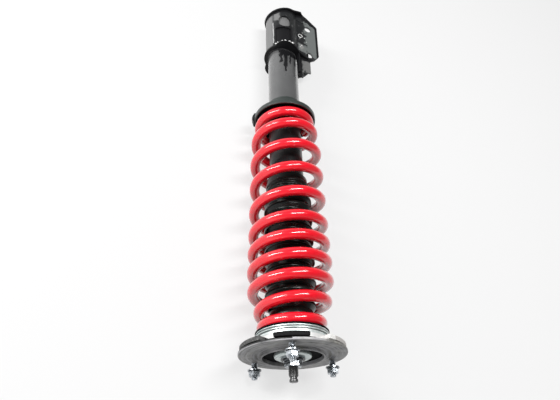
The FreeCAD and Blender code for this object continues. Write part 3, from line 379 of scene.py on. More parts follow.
FAR = 100.0     # past the strut on either side
BRACKET_ZONES = [
    # painted light on the wrap's left side, a painted highlight along its edge, and painted shade over its
    # front
    area((0.185, 0.185, 0.185), (-FAR, -22.2), (506.0, 590.0), 2.0, 2.0),
    area((0.165, 0.165, 0.165), (-23.5, -12.0), (563.0, 590.0), 3.0, 8.0),
    area((0.46, 0.46, 0.46), (-23.2, -21.6), (512.0, 562.0), 0.6, 1.5),
    area(PAINTED_SHADE, (-21.0, 9.0), (500.0, 553.0), 2.0, 6.0),
    # painted light on the face of the ear, with painted shade along its edges
    area((0.125, 0.135, 0.132), (33.0, FAR), (498.0, 588.0), 3.0, 20.0),
    area((0.130, 0.138, 0.135), (20.0, 36.0), (516.0, 535.0), 2.0, 6.0, 0.35),
    area((0.200, 0.200, 0.195), (22.0, 31.0), (513.0, 525.0), 2.0, 12.0),
    area(PAINTED_SHADE, (18.0, 38.0), (536.0, 540.0), 1.0, 4.0, 0.35),
    area(PAINTED_SHADE, (53.8, FAR), (490.0, 600.0), 0.8),
    area(PAINTED_SHADE, (28.0, FAR), (606.0, 700.0), 1.0, 10.0, 0.645),
    # the hose bracket: painted light on its right part, painted shade on its left
    area((0.140, 0.140, 0.138), (24.0, FAR), (447.0, 484.0), 2.0, 8.0),
    area(PAINTED_SHADE, (10.0, 24.5), (440.0, 500.0), 2.0, 4.0),
    # painted shade over the far rim and the near rim
    area(PAINTED_SHADE, (-FAR, FAR), (584.0, 700.0), 2.0, 2.0, -0.2),
    area(PAINTED_SHADE, (-FAR, 50.0), (489.0, 503.0), 2.0, 3.0, 0.2)]
black_bracket_paint = finish(
    "black_bracket_paint", (0.020, 0.021, 0.022), (0.010, 0.011, 0.012), rough=(0.34, 0.46), specular=0.18,
    coat=0.25, coat_rough=0.12, grain_size=400.0, grain_depth=0.00012, scuff=0.6, scuff_size=150.0,
    scuff_colour=(0.20, 0.20, 0.20), stretch=2.0, zones=BRACKET_ZONES)
seat_paint = finish(
    "seat_paint", (0.030, 0.038, 0.035), (0.020, 0.027, 0.025), rough=(0.35, 0.5), coat=0.3, coat_rough=0.2,
    grain_depth=0.00008, scuff=0.25, scuff_colour=(0.09, 0.10, 0.095))
print("zones of the tube:", len(TUBE_ZONES), "and of the bracket:", len(BRACKET_ZONES))

# %% [markdown]
# ## Rubber and the mount
# Rubber is nearly black and hardly shines. The mount's face wears a thin
# phosphate coat with turning marks in it, and painted shade along its left
# edge. The casting behind it is rough and pale where its skin is bare, with
# painted shade on its top lobe, and a painted highlight and painted light on
# the rim segment to the right.

# %% Rubber and mount finishes
boot_rubber = finish(
    "boot_rubber", (0.004, 0.006, 0.0055), (0.007, 0.010, 0.0095), rough=(0.22, 0.30), specular=0.25,
    coat=0.15, coat_rough=0.08, drift_size=40.0, grain_depth=0.00004)
soft_rubber = finish(
    "soft_rubber", (0.003, 0.003, 0.004), (0.006, 0.006, 0.007), rough=(0.6, 0.8), specular=0.3, ior=1.12,
    grain_size=1200.0, grain_depth=0.0001)
mount_face_coat = finish(
    "mount_face_coat", (0.340, 0.330, 0.300), (0.022, 0.024, 0.028), rough=(0.33, 0.48), specular=0.4,
    drift_size=62.0, grain_size=700.0, grain_depth=0.00012, scuff=0.8, scuff_size=80.0,
    scuff_colour=(0.02, 0.02, 0.02), stretch=1.5, streak=(0.42, 0.42, 0.44), streak_size=24.0,
    # painted shade along the plate's left edge, next to the casting
    streak_stretch=18.0, zones=[area(PAINTED_SHADE, (-FAR, -26.0), (1.0, 10.0), 0.6)])
CASTING_ZONES = [
    # painted shade over the top lobe, a painted highlight on the rim segment to its right, and painted light
    # beyond it
    area(PAINTED_SHADE, (-47.0, 4.0)),
    area((0.780, 0.770, 0.750), (10.0, 30.0)),
    area((0.520, 0.500, 0.480), (28.0, FAR), soft=3.0, ragged=12.0)]
cast_housing = finish(
    "cast_housing", (0.050, 0.050, 0.050), (0.150, 0.150, 0.147), rough=(0.5, 0.7), specular=0.10,
    drift_size=170.0, grain_size=500.0, grain_depth=0.0004, scuff=0.8, scuff_size=300.0,
    scuff_colour=(0.50, 0.50, 0.49), stretch=1.0, zones=CASTING_ZONES)
print("finishes:", [each.name for each in (boot_rubber, soft_rubber, mount_face_coat, cast_housing)])

# %% [markdown]
# ## Plated and bare metal
# Nuts, studs and cups are zinc plated, which is bright but a little cloudy. The
# rod is hard chrome, polished for its seal. The inner steel pieces are turned.

# %% Metal and plastic finishes
# painted shade in the joints between nut, flange and washer
NUT_JOINT_SHADE = [area(PAINTED_SHADE, y=places, soft=0.2) for places in ((-10.6, -9.4), (-8.0, -6.9), (-5.6, -4.6))]
zinc_plate = finish(
    "zinc_plate", (0.76, 0.80, 0.84), (0.06, 0.07, 0.08), rough=(0.24, 0.34), metallic=1.0, drift_size=480.0,
    grain_size=1500.0, grain_depth=0.00003, zones=NUT_JOINT_SHADE)
# painted shade in the seat's groove, at its step and under its rim
SEAT_STEP_SHADE = [
    area((0.03, 0.04, 0.04), y=(22.2, 23.8), soft=0.3),
    area((0.03, 0.04, 0.04), y=(25.2, 30.0), soft=0.3),
    area((0.10, 0.12, 0.12), y=(20.2, 21.2), soft=0.3)]
pale_zinc = finish(
    "pale_zinc", (0.62, 0.69, 0.68), (0.42, 0.50, 0.49), rough=(0.30, 0.40), metallic=0.45, drift_size=60.0,
    grain_size=1500.0, grain_depth=0.00003, streak=(0.86, 0.90, 0.89), streak_size=50.0, zones=SEAT_STEP_SHADE)
bright_shell = finish(
    "bright_shell", (0.85, 0.85, 0.84), (0.70, 0.70, 0.69), rough=(0.3, 0.4), metallic=0.3,
    grain_depth=0.00002)
black_oxide = finish(
    "black_oxide", (0.040, 0.041, 0.042), (0.090, 0.090, 0.090), rough=(0.22, 0.32), metallic=0.6,
    drift_size=160.0, grain_depth=0.00003)
hard_chrome = finish(
    "hard_chrome", (0.80, 0.81, 0.82), (0.76, 0.77, 0.79), rough=(0.06, 0.10), metallic=1.0, grain_depth=0.0)
machined_steel = finish(
    "machined_steel", (0.55, 0.56, 0.57), (0.48, 0.49, 0.50), rough=(0.25, 0.38), metallic=1.0,
    grain_size=1500.0, grain_depth=0.00003)
moulded_plastic = finish(
    "moulded_plastic", (0.72, 0.70, 0.62), (0.66, 0.64, 0.57), rough=(0.4, 0.5), grain_depth=0.00005)
METALS = (zinc_plate, pale_zinc, bright_shell, black_oxide, hard_chrome, machined_steel)
print("metal finishes:", [material.name for material in METALS], "and", moulded_plastic.name)

# %% [markdown]
# ## A finish for every carried node
# The measured nodes keep their place and shape. Some stay in the picture as
# they are, so each gets its finish here, and the pieces built below then stand
# for the ones that need a finer form.

# %% Dress the carried nodes
NODES_OF_FINISH = [
    (black_gloss_paint, "strut_tube tube_end_cap bump_cap"),
    (black_bracket_paint, "knuckle_bracket bracket_inner_plate hose_bracket seat_tab"),
    (seat_paint, "lower_spring_seat"),
    (red_powder_coat, "coil_spring"),
    (boot_rubber, "dust_boot"),
    (soft_rubber, "lower_spring_pad upper_spring_pad rod_seal mount_rubber bump_stop"),
    (mount_face_coat, "mount_plate"),
    (cast_housing, "mount_housing"),
    (bright_shell, "housing_shell"),
    (pale_zinc, "upper_spring_seat inner_cup"),
    (zinc_plate, "mount_studs stud_nuts rod_washer rod_nut"),
    (hard_chrome, "damper_rod bearing_balls"),
    (moulded_plastic, "guide_bush bearing_cage piston_band"),
    (machined_steel, "gland_nut rod_guide pressure_tube foot_valve lower_bearing_race upper_bearing_race "
                     "rebound_stop piston rebound_disc compression_disc piston_nut")]


def body_of_node(node):
    for body, members in frame["record"]["behaviour"]["bodies"].items():
        if node in members:
            return body
    raise ValueError(node)


dressed = 0
for material, names in NODES_OF_FINISH:
    for node_name in names.split():
        node = frame["nodes"][node_name]
        if not node.material_slots:
            node.data.materials.append(material)
        for place in node.material_slots:
            place.link = "OBJECT"
            place.material = material
        dressed += 1
print("dressed nodes:", dressed)

# %% [markdown]
# ## Turned pieces
# Most of a strut is round: tube, seats, cups, washers and boot. Each is a
# closed outline of radius and height, spun round the strut axis. The corners of
# the outline are rounded first, because a real pressed or turned edge always
# catches a thin line of light.

# %% Rounded outlines and spinning


def rounded(outline, radius, pieces=4):
    # replaces each corner by a short arc, no longer than its sides allow
    result = []
    count = len(outline)
    for i in range(count):
        before = Vector(outline[i - 1][:2])
        corner = Vector(outline[i][:2])
        after = Vector(outline[(i + 1) % count][:2])
        own = outline[i][2] if len(outline[i]) > 2 else radius
        to_before = before - corner
        to_after = after - corner
        if own <= 0.0 or corner.x < 1e-6 or to_before.length < 1e-6 or to_after.length < 1e-6:
            result.append(corner)
            continue
        angle = to_before.angle(to_after)
        reach = min(own / max(math.tan(angle / 2.0), 1e-3), to_before.length * 0.45, to_after.length * 0.45)
        start = corner + to_before.normalized() * reach
        end = corner + to_after.normalized() * reach
        for k in range(pieces + 1):
            t = k / pieces
            result.append(start * (1 - t) ** 2 + corner * 2 * t * (1 - t) + end * t ** 2)
    return result


def join_rows(shape, rows, loop=True):
    # faces between neighbouring rows of points, and in a loop also from the last row to the first
    for i in range(len(rows) if loop else len(rows) - 1):
        a = rows[i]
        b = rows[(i + 1) % len(rows)]
        for k in range(len(a)):
            n = (k + 1) % len(a)
            corners = []
            for corner in (a[k], a[n], b[n], b[k]):
                if corner not in corners:
                    corners.append(corner)
            if len(corners) > 2:
                shape.faces.new(corners)


def close_mesh(name, shape, sharp_from=None):
    # turns the faces outward and smooths them, but keeps an edge sharp from the given angle on
    mesh = bpy.data.meshes.new(name)
    bmesh.ops.recalc_face_normals(shape, faces=shape.faces)
    shape.to_mesh(mesh)
    shape.free()
    for polygon in mesh.polygons:
        polygon.use_smooth = True
    if sharp_from:
        mesh.set_sharp_from_angle(angle=math.radians(sharp_from))
    return mesh


def spun_mesh(name, outline, steps=112):
    shape = bmesh.new()
    angles = [FULL_TURN * k / steps for k in range(steps)]
    rows = []
    for radius, height in outline:
        if radius < 1e-5:
            rows.append([shape.verts.new(point(0.0, height, 0.0))] * steps)
        else:
            rows.append([shape.verts.new(ring_point(radius, angle, height)) for angle in angles])
    join_rows(shape, rows)
    return close_mesh(name, shape, 32.0)


def put_in(name, mesh, node, material):
    # makes the object, gives it its finish and lets it move with its body
    obj = bpy.data.objects.new(name, mesh)
    bpy.context.scene.collection.objects.link(obj)
    mesh.materials.clear()
    mesh.materials.append(material)
    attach(obj, body_of_node(node))
    return obj


def spun(name, node, material, outline, radius=0.5, steps=112):
    mesh = spun_mesh(name, rounded(outline, radius), steps)
    obj = put_in(name, mesh, node, material)
    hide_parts(node)
    return obj


print("points of a rounded square:", len(rounded([(1.0, 0.0), (2.0, 0.0), (2.0, 1.0), (1.0, 1.0)], 0.2)))

# %% [markdown]
# ## Pressed and cast pieces
# A bracket or a lobed casting isn't round. Its measured mesh already has the
# right outline, so a copy of it is cleaned of needless edges, and a bevel
# softens each sharp edge as pressing, casting and paint do.

# %% Softened copies


def soften_edges(obj, width, limit):
    bevel = obj.modifiers.new("soft_edges", "BEVEL")
    bevel.width = mm(width)
    bevel.segments = 3
    bevel.limit_method = "ANGLE"
    bevel.angle_limit = math.radians(limit)
    bevel.harden_normals = True


def softened(name, node, material, width):
    mesh = frame["nodes"][node].data.copy()
    mesh.name = name
    shape = bmesh.new()
    shape.from_mesh(mesh)
    bmesh.ops.remove_doubles(shape, verts=shape.verts, dist=mm(0.01))
    bmesh.ops.dissolve_limit(shape, angle_limit=math.radians(1.0), verts=shape.verts, edges=shape.edges)
    shape.to_mesh(mesh)
    shape.free()
    for label in ("custom_normal", "sharp_edge", "sharp_face"):
        if label in mesh.attributes:
            mesh.attributes.remove(mesh.attributes[label])
    for polygon in mesh.polygons:
        polygon.use_smooth = True
    obj = put_in(name, mesh, node, material)
    soften_edges(obj, width, 28.0)
    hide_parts(node)
    return obj


print("faces of the measured bracket:", len(frame["nodes"]["knuckle_bracket"].data.polygons))

# %% [markdown]
# ## Tube and end cap
# The damper tube is a straight painted steel tube. Its far end is closed by a
# pressed cap with a welded seam.

# %% Tube and end cap
TUBE, BORE = 24.3, 22.3                   # radii
TUBE_NEAR, TUBE_FAR = 222.0, 592.0        # places of the tube's ends
strut_tube = spun("damper_tube", "strut_tube", black_gloss_paint, [
    (BORE, TUBE_NEAR), (TUBE, TUBE_NEAR), (TUBE, TUBE_FAR), (BORE, TUBE_FAR)], 0.6)
end_cap = spun("end_cap", "tube_end_cap", black_gloss_paint, [
    (0.0, 597.0), (10.0, 596.6, 8.0), (18.0, 595.0, 8.0), (BORE, TUBE_FAR), (BORE, 586.0), (19.3, 586.0),
    (19.3, 589.5), (13.0, 593.0, 4.0), (0.0, 594.0)], 0.4)
bump_cap = spun("bump_stop_cap", "bump_cap", black_gloss_paint, [
    (11.5, 219.5), (26.0, 219.5), (26.5, 220.0), (26.5, 236.0), (TUBE, 236.0), (TUBE, TUBE_NEAR),
    (11.5, TUBE_NEAR)])
print("faces of the tube:", len(strut_tube.data.polygons), "cap:", len(end_cap.data.polygons),
      "stop cap:", len(bump_cap.data.polygons))

# %% [markdown]
# ## Knuckle bracket
# One thick sheet is pressed round the tube and carries on as two ears. Rims
# turn outward at both ends, and a weld bead joins the near rim to the tube. The
# bead is a ring of small overlapping ripples, as a welding torch leaves it.

# %% Bracket, channel, hose bracket and welds
bracket = softened("bracket_sheet", "knuckle_bracket", black_bracket_paint, 0.9)
channel = softened("bracket_channel", "bracket_inner_plate", black_bracket_paint, 0.6)
hose_fork = softened("hose_fork", "hose_bracket", black_bracket_paint, 0.5)

RIPPLES = 90             # of a weld bead, in one turn
BEAD_SIDES = 12


def weld_bead(name, node, radius, height, slope, thick=2.0):
    # a ring on the tube that follows a slanted plane, with a rippled surface
    shape = bmesh.new()
    steps = RIPPLES * 6
    rows = []
    for k in range(steps):
        angle = FULL_TURN * k / steps
        swell = thick * (1.0 + 0.14 * math.sin(RIPPLES * angle) + 0.10 * math.sin(7.0 * angle))
        row = []
        for j in range(BEAD_SIDES):
            swing = FULL_TURN * j / BEAD_SIDES
            r = radius + swell * math.cos(swing)
            y = height + slope * r * math.cos(angle) + swell * math.sin(swing)
            row.append(shape.verts.new(ring_point(r, angle, y)))
        rows.append(row)
    join_rows(shape, rows)
    return put_in(name, close_mesh(name, shape), node, black_bracket_paint)


near_weld = weld_bead("near_weld", "knuckle_bracket", TUBE - 0.3, 494.6, -0.2)
far_weld = weld_bead("far_weld", "tube_end_cap", 22.6, 592.2, 0.0, 1.2)
print("bracket pieces:", [obj.name for obj in (bracket, channel, hose_fork, near_weld, far_weld)])

# %% [markdown]
# ## Spatter and pilot hole
# Welding throws small drops of metal on the rim and the ear, and their pale
# finish paints the glints seen on them. A thin pale ring marks the edge of the
# small pilot hole in the ear. The drops are squashed balls, and the edge is a
# thin ring.

# %% Spatter and the bright ring


def bright_drops(name, node, places, material):
    # small flattened drops of weld metal, each a squashed ball of a few faces
    shape = bmesh.new()
    for x, y, z, size in places:
        spread = Matrix.Translation(point(x, y, z)) @ Matrix.Diagonal((1.5, 1.0, 0.8, 1.0))
        bmesh.ops.create_icosphere(shape, subdivisions=2, radius=mm(size), matrix=spread)
    return put_in(name, close_mesh(name, shape), node, material)


SPATTER = [
    (-21.8, 501.2, 26.0, 1.5), (-20.0, 500.6, 30.2, 0.9), (-15.6, 500.0, 36.9, 0.9),
    (-11.2, 499.0, 39.9, 1.0), (-4.8, 498.0, 41.5, 1.0), (-2.6, 497.6, 41.6, 0.6), (1.2, 496.6, 41.0, 1.5),
    (33.2, 541.0, 20.9, 0.6), (30.4, 553.0, 20.9, 0.7), (24.8, 538.0, 20.9, 0.6), (36.6, 533.0, 20.9, 0.5),
    (27.2, 521.0, 20.9, 0.8), (24.0, 517.0, 20.9, 0.6)]
# weld spatter, whose pale finish paints the glints on the rim and the ear
rim_spatter = bright_drops("rim_spatter", "knuckle_bracket", SPATTER, bright_shell)

PILOT = (26.0, 545.0, 20.1)              # middle of the pilot hole, on the ear's face
EDGE_RADIUS = 3.7
EDGE_WIDTH, EDGE_RISE = 0.75, 0.6        # half of the bright edge's width and height
EDGE_STEPS, EDGE_SIDES = 40, 8
shape = bmesh.new()
rows = []
for k in range(EDGE_STEPS):
    angle = FULL_TURN * k / EDGE_STEPS
    row = []
    for j in range(EDGE_SIDES):
        swing = FULL_TURN * j / EDGE_SIDES
        r = EDGE_RADIUS + EDGE_WIDTH * math.cos(swing)
        row.append(shape.verts.new(point(PILOT[0] + r * math.cos(angle), PILOT[1] + r * math.sin(angle),
                                         PILOT[2] + EDGE_RISE * math.sin(swing))))
    rows.append(row)
join_rows(shape, rows)
# every edge stays sharp, so that the pale ring glints in small facets
pilot_ring = put_in("pilot_ring", close_mesh("pilot_ring", shape, 1.0), "knuckle_bracket", bright_shell)
print("faces of the spatter:", len(rim_spatter.data.polygons), "bright ring:", len(pilot_ring.data.polygons))

# %% [markdown]
# ## Lower spring seat
# The seat is a pressed dish with a collar on the tube. The spring's last turn
# sits in it on a thin rubber ring.

# %% Lower seat and pad
lower_seat = spun("lower_seat_dish", "lower_spring_seat", seat_paint, [
    (TUBE, 376.0), (TUBE, 392.0), (26.8, 392.0), (26.8, 378.5, 5.0), (31.5, 368.5, 5.0), (46.3, 368.5, 2.0),
    (47.1, 367.7), (47.1, 361.0), (44.6, 361.0), (44.6, 366.0, 1.5), (30.0, 366.0, 4.0)], 0.8)
lower_pad = spun("lower_pad_ring", "lower_spring_pad", soft_rubber, [
    (30.4, 363.5), (44.4, 363.5), (44.4, 366.0), (30.4, 366.0)], 0.6)
print("faces of the seat:", len(lower_seat.data.polygons), "pad:", len(lower_pad.data.polygons))

# %% [markdown]
# ## Stop tab
# A small pressed tab hugs the seat's rim and stops the spring's end from
# creeping round. It is a short piece of a ring: a closed profile of radius and
# height, carried round part of a circle.

# %% Stop tab
TAB_PROFILE = [
    (47.15, 359.6), (48.6, 359.6), (50.2, 362.0), (50.9, 365.5), (50.8, 369.5), (49.6, 373.5),
    (47.6, 377.0), (46.2, 378.4), (45.2, 377.6), (44.9, 373.0), (44.9, 368.6), (47.15, 368.6)]
TAB_FROM, TAB_TO = 196.6, 211.4           # degrees round the axis


def arc_blocks(name, node, material, profile, first, last, count=1, width=1.2):
    # carries a profile of radius and height from one turn to another, count times round the axis
    shape = bmesh.new()
    steps = max(10, int((last - first) / 2.0))
    for block in range(count):
        rows = []
        for i in range(steps + 1):
            angle = math.radians(first + (last - first) * i / steps + 360.0 * block / count)
            rows.append([shape.verts.new(ring_point(r, angle, y)) for r, y in profile])
        join_rows(shape, rows, loop=False)
        shape.faces.new(rows[0])
        shape.faces.new(rows[-1])
    obj = put_in(name, close_mesh(name, shape), node, material)
    soften_edges(obj, width, 40.0)
    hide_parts(node)
    return obj


stop_tab = arc_blocks("stop_tab", "seat_tab", black_bracket_paint, TAB_PROFILE, TAB_FROM, TAB_TO, width=0.4)
print("faces of the tab before its bevel:", len(stop_tab.data.polygons))

# %% [markdown]
# ## Coil spring
# The wire follows a helix whose pitch opens towards the bracket and whose ends
# draw in. The centre line is one formula of the turn number, and a circle is
# carried along it. The circle is built on the tangent at each step, so the wire
# keeps its thickness where the pitch changes.

# %% Spring centre line
FIRST_TURN, LAST_TURN = -0.25, 10.35
WIRE = 7.25                               # radius of the wire
SPRING_TOP, SPRING_LOW = 27.1, 363.5      # where the spring meets its pads
END_RADIUS, FULL_RADIUS = 36.8, 49.4      # of the centre line, at its ends and at its widest
TAPER = 0.75                              # past the third turn, each turn's radius is this much smaller
CLOSE_PITCH, MORE_PITCH = 27.0, 13.3      # the open turns rise by both together
START_ANGLE = 114.0                       # degrees round the axis, where the turns are counted from
STEPS_PER_TURN, WIRE_SIDES = 56, 28
END_ROUND = 0.8                           # size of the rounded edge at the wire's ends


def smooth(x):
    # an even start and stop between 0 and 1
    x = max(0.0, min(1.0, x))
    return x * x * (3.0 - 2.0 * x)


def coil_radius(k):
    middle = FULL_RADIUS - TAPER * max(0.0, k - 3.0)
    ends = smooth(k / 2.0) * (1.0 - smooth((k - 8.4) / 2.2))
    return END_RADIUS + (middle - END_RADIUS) * ends


def coil_pitch(k):
    pitch = CLOSE_PITCH + MORE_PITCH * smooth((k - 4.3) / 1.6)
    finish_off = 1.0 - 0.75 * max(0.0, min(1.0, (k - 8.75) / 1.6))
    return pitch * smooth((k + 0.1) / 0.35) * finish_off


def coil_line():
    # adds up the pitch in small steps and stretches the whole to the room between the pads
    count = int(round((LAST_TURN - FIRST_TURN) * STEPS_PER_TURN))
    step = (LAST_TURN - FIRST_TURN) / count
    turns = [FIRST_TURN + i * step for i in range(count + 1)]
    heights = [0.0]
    for k in turns[:-1]:
        rise = step * (coil_pitch(k) + 4 * coil_pitch(k + step / 2) + coil_pitch(k + step)) / 6
        heights.append(heights[-1] + rise)
    scale_up = (SPRING_LOW - SPRING_TOP - 2 * WIRE) / heights[-1]
    line = []
    for k, rise in zip(turns, heights):
        angle = math.radians(START_ANGLE) - FULL_TURN * k
        r = coil_radius(k)
        line.append(Vector((r * math.cos(angle), SPRING_TOP + WIRE + rise * scale_up, r * math.sin(angle))))
    return line


def tube_along(name, line, radius):
    # a circle at each point, square to the line, and rounded ends
    shape = bmesh.new()
    rows = []
    last = len(line) - 1
    inset = 0.3 * END_ROUND
    sections = [(0, radius - END_ROUND, 0.0), (0, radius - inset, inset)]
    sections += [(i, radius, 0.0) for i in range(1, last)]
    sections += [(last, radius - inset, -inset), (last, radius - END_ROUND, 0.0)]
    for i, r, shift in sections:
        ahead = line[min(i + 1, last)] - line[max(i - 1, 0)]
        ahead.normalize()
        outward = Vector((line[i].x, 0.0, line[i].z))
        outward = (outward - ahead * outward.dot(ahead)).normalized()
        side = ahead.cross(outward)
        row = []
        for j in range(WIRE_SIDES):
            angle = FULL_TURN * j / WIRE_SIDES
            place = line[i] + ahead * shift + (outward * math.cos(angle) + side * math.sin(angle)) * r
            row.append(shape.verts.new(point(*place)))
        rows.append(row)
    join_rows(shape, rows, loop=False)
    shape.faces.new(rows[0][::-1])
    shape.faces.new(rows[-1])
    return close_mesh(name, shape, 40.0)


spring_mesh = tube_along("red_spring", coil_line(), WIRE)
red_spring = put_in("red_spring", spring_mesh, "coil_spring", red_powder_coat)
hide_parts("coil_spring")
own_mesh(red_spring)

# %% [markdown]
# ## Dust boot
# The boot is a thin rubber bellows that hides the polished rod. Its outline
# swings out and in for each fold. It is spun like the metal pieces, but with
# wide rounding, so that light runs softly over each fold.

# %% Dust boot
FOLDS = 12
BOOT_TOP, BOOT_FIRST, BOOT_LAST, BOOT_END = 29.0, 38.0, 222.0, 250.0
NECK, PEAK, FOLD_DEPTH, WALL = 28.0, 33.4, 4.6, 1.4      # radii of neck and folds, and the rubber's thickness
MOUTH = [
    (28.2, BOOT_LAST, 1.0), (28.2, 228.6, 0.8), (30.1, 230.4, 0.9), (30.1, 233.0, 0.9), (28.1, 234.6, 0.8),
    (28.1, 235.4, 0.8), (30.2, 237.2, 0.9), (30.2, 239.8, 0.9), (28.9, 241.2, 0.8), (28.9, BOOT_END, 0.6)]


def boot_outline():
    # the first two folds are smaller, to clear the spring's first turn
    outer = [(NECK, BOOT_TOP, 0.5), (NECK, BOOT_FIRST - 2.0, 2.0)]
    pitch = (BOOT_LAST - BOOT_FIRST) / FOLDS
    for i in range(FOLDS):
        peak = PEAK - max(0.0, 3.6 - 1.8 * i)
        start = BOOT_FIRST + pitch * i
        outer.append((peak - FOLD_DEPTH, start, 3.0))
        outer.append((peak, start + 0.35 * pitch, 2.0))
        outer.append((peak, start + 0.55 * pitch, 2.0))
    outer += MOUTH
    inner = [(r - WALL, y, rounding) for r, y, rounding in outer]
    inner[:2] = [(26.0, BOOT_TOP, 0.3), (26.0, BOOT_FIRST - 2.0, 2.0)]
    return outer + inner[::-1]


boot_mesh = spun_mesh("bellows", rounded(boot_outline(), 1.0, 5), 96)
bellows = put_in("bellows", boot_mesh, "dust_boot", boot_rubber)
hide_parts("dust_boot")
# the whole boot is carried by the spring's body
BOOT_BODY = body_of_node("coil_spring")
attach(bellows, BOOT_BODY)
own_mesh(bellows)

# %% [markdown]
# ## Upper seat
# Under the mount, a zinc plated seat holds the spring's first turn on a rubber
# ring. It steps out once, and both steps are rounded by the press.

# %% Upper seat and pad
upper_seat = spun("upper_seat_dish", "upper_spring_seat", pale_zinc, [
    (24.0, 17.0), (42.4, 17.0), (43.0, 17.6), (43.0, 21.0, 0.6), (44.9, 21.0), (45.3, 21.4, 0.4),
    (45.3, 22.7, 0.3), (43.9, 22.9, 0.2), (43.9, 23.8, 0.2), (45.3, 24.2, 0.3), (45.3, 25.6, 0.4),
    (43.3, 25.6), (43.3, 23.0), (41.0, 23.0), (41.0, 19.0), (26.0, 19.0), (26.0, 36.0), (24.0, 36.0)], 0.7)
upper_pad = spun("upper_pad_ring", "upper_spring_pad", soft_rubber, [
    (28.6, 19.0), (41.0, 19.0), (41.0, 23.0), (43.3, 23.0), (43.3, 25.7), (46.0, 25.8, 0.6),
    (46.0, 27.8, 0.9), (43.6, 27.9), (43.6, SPRING_TOP), (28.6, SPRING_TOP)], 0.4)
print("faces of the seat:", len(upper_seat.data.polygons), "pad:", len(upper_pad.data.polygons))

# %% [markdown]
# ## Top mount
# The face plate is a heavy pressing with a proud lip. Behind it sits a casting:
# a round core with a notched flange, which has a lobe at each stud and a rim
# segment between two lobes. A bright pressed shell shows in the notches. In the
# middle a rubber ring carries a plated cup, which the rod nut clamps.

# %% Plate and housing
PLATE, OPENING = 66.5, 37.5               # radii of the plate and of its hole
PLATE_BACK, LIP = 3.2, -3.4               # places of the plate's back and of the proud lip
face_plate = spun("face_plate", "mount_plate", mount_face_coat, [
    (OPENING, LIP), (39.5, LIP, 1.0), (39.5, 0.0, 1.2), (PLATE, 0.0, 1.2), (PLATE, PLATE_BACK, 0.8),
    (OPENING, PLATE_BACK)], 0.7, 160)
FLANGE_NEAR, FLANGE_FAR = 5.0, 10.7
casting_core = spun("casting_core", "mount_housing", cast_housing, [
    (OPENING, PLATE_BACK), (44.0, PLATE_BACK), (44.0, FLANGE_NEAR), (46.4, FLANGE_NEAR), (46.4, FLANGE_FAR),
    (44.0, FLANGE_FAR), (44.0, 15.0), (41.4, 15.0), (41.4, 13.0), (28.0, 13.0), (28.0, 9.0),
    (OPENING, 9.0)], 0.4)
FLANGE_PROFILE = [(45.6, FLANGE_NEAR), (65.0, FLANGE_NEAR), (65.0, FLANGE_FAR), (45.6, FLANGE_FAR)]
stud_lobes = arc_blocks("stud_lobes", "mount_housing", cast_housing, FLANGE_PROFILE, 95.0, 133.0, 3)
rim_segments = arc_blocks("rim_segments", "mount_housing", cast_housing, FLANGE_PROFILE, 149.0, 193.0, 3)
for obj in (face_plate, casting_core, stud_lobes, rim_segments):
    print("faces of", obj.name, len(obj.data.polygons))

# %% [markdown]
# ## Rubber, cup and nuts
# The rubber ring is bonded between the plate and the cup and takes up the road's
# knocks. The washer and the nuts are bought parts: the nuts keep their measured
# outline and only get softer edges.

# %% Rubber, cup, washer and nut
SLEEVE = 23.0                             # outer radius of the plated cup
bonded_rubber = spun("bonded_rubber", "mount_rubber", soft_rubber, [
    (SLEEVE, 1.6), (25.0, 0.6, 1.5), (35.5, 0.6, 1.5), (OPENING, 1.6), (OPENING, 9.0), (SLEEVE, 9.0)], 0.4)
plated_cup = spun("plated_cup", "inner_cup", pale_zinc, [
    (6.1, LIP), (12.0, LIP, 1.0), (16.0, -3.0, 3.0), (20.0, LIP, 2.0), (SLEEVE, -2.0, 1.5), (SLEEVE, 12.0),
    (21.0, 12.0), (21.0, -1.4), (10.0, -1.4), (10.0, 14.0), (6.1, 14.0)])
thick_washer = spun("thick_washer", "rod_washer", zinc_plate, [
    (6.2, -5.0), (15.0, -5.0), (15.0, LIP), (6.2, LIP)], 0.35)
top_nut = softened("top_nut", "rod_nut", zinc_plate, 0.35)
lock_nuts = softened("lock_nuts", "stud_nuts", zinc_plate, 0.3)
MIDDLE = (bonded_rubber, plated_cup, thick_washer, top_nut, lock_nuts)
print("middle of the mount:", [obj.name for obj in MIDDLE])

# %% [markdown]
# ## Threads
# A thread is a ridge that climbs one pitch for each turn. A fine grid is
# wrapped round the bolt, and each point's radius depends on how far it has
# climbed plus how far it has turned, which winds the ridge into a helix.

# %% Threads on the studs and the rod
THREAD_PITCH = 1.25
THREAD_SIDES = 28
ROWS_PER_PITCH = 8
TIP = 0.8                # length over which a bolt's tip grows to its full radius


def thread_mesh(name, places, start, end, outer, inner):
    shape = bmesh.new()
    count = max(4, int(abs(end - start) / THREAD_PITCH * ROWS_PER_PITCH))
    core = inner - 0.5
    for place in places:
        rows = []
        for i in range(count + 1):
            y = start + (end - start) * i / count
            fade = min(1.0, abs(y - start) / TIP)
            row = []
            for j in range(THREAD_SIDES):
                angle = FULL_TURN * j / THREAD_SIDES
                climb = (y / THREAD_PITCH + angle / FULL_TURN) % 1.0
                ridge = 1.0 - abs(2.0 * climb - 1.0)
                ridge = min(1.0, max(0.0, ridge * 1.25 - 0.1))
                r = inner + (outer - inner) * ridge
                r = core + (r - core) * (0.4 + 0.6 * fade)
                row.append(shape.verts.new(ring_point(r, angle, y, place)))
            rows.append(row)
        join_rows(shape, rows, loop=False)
        shape.faces.new(rows[0])
        shape.faces.new(rows[-1])
    return close_mesh(name, shape, 55.0)


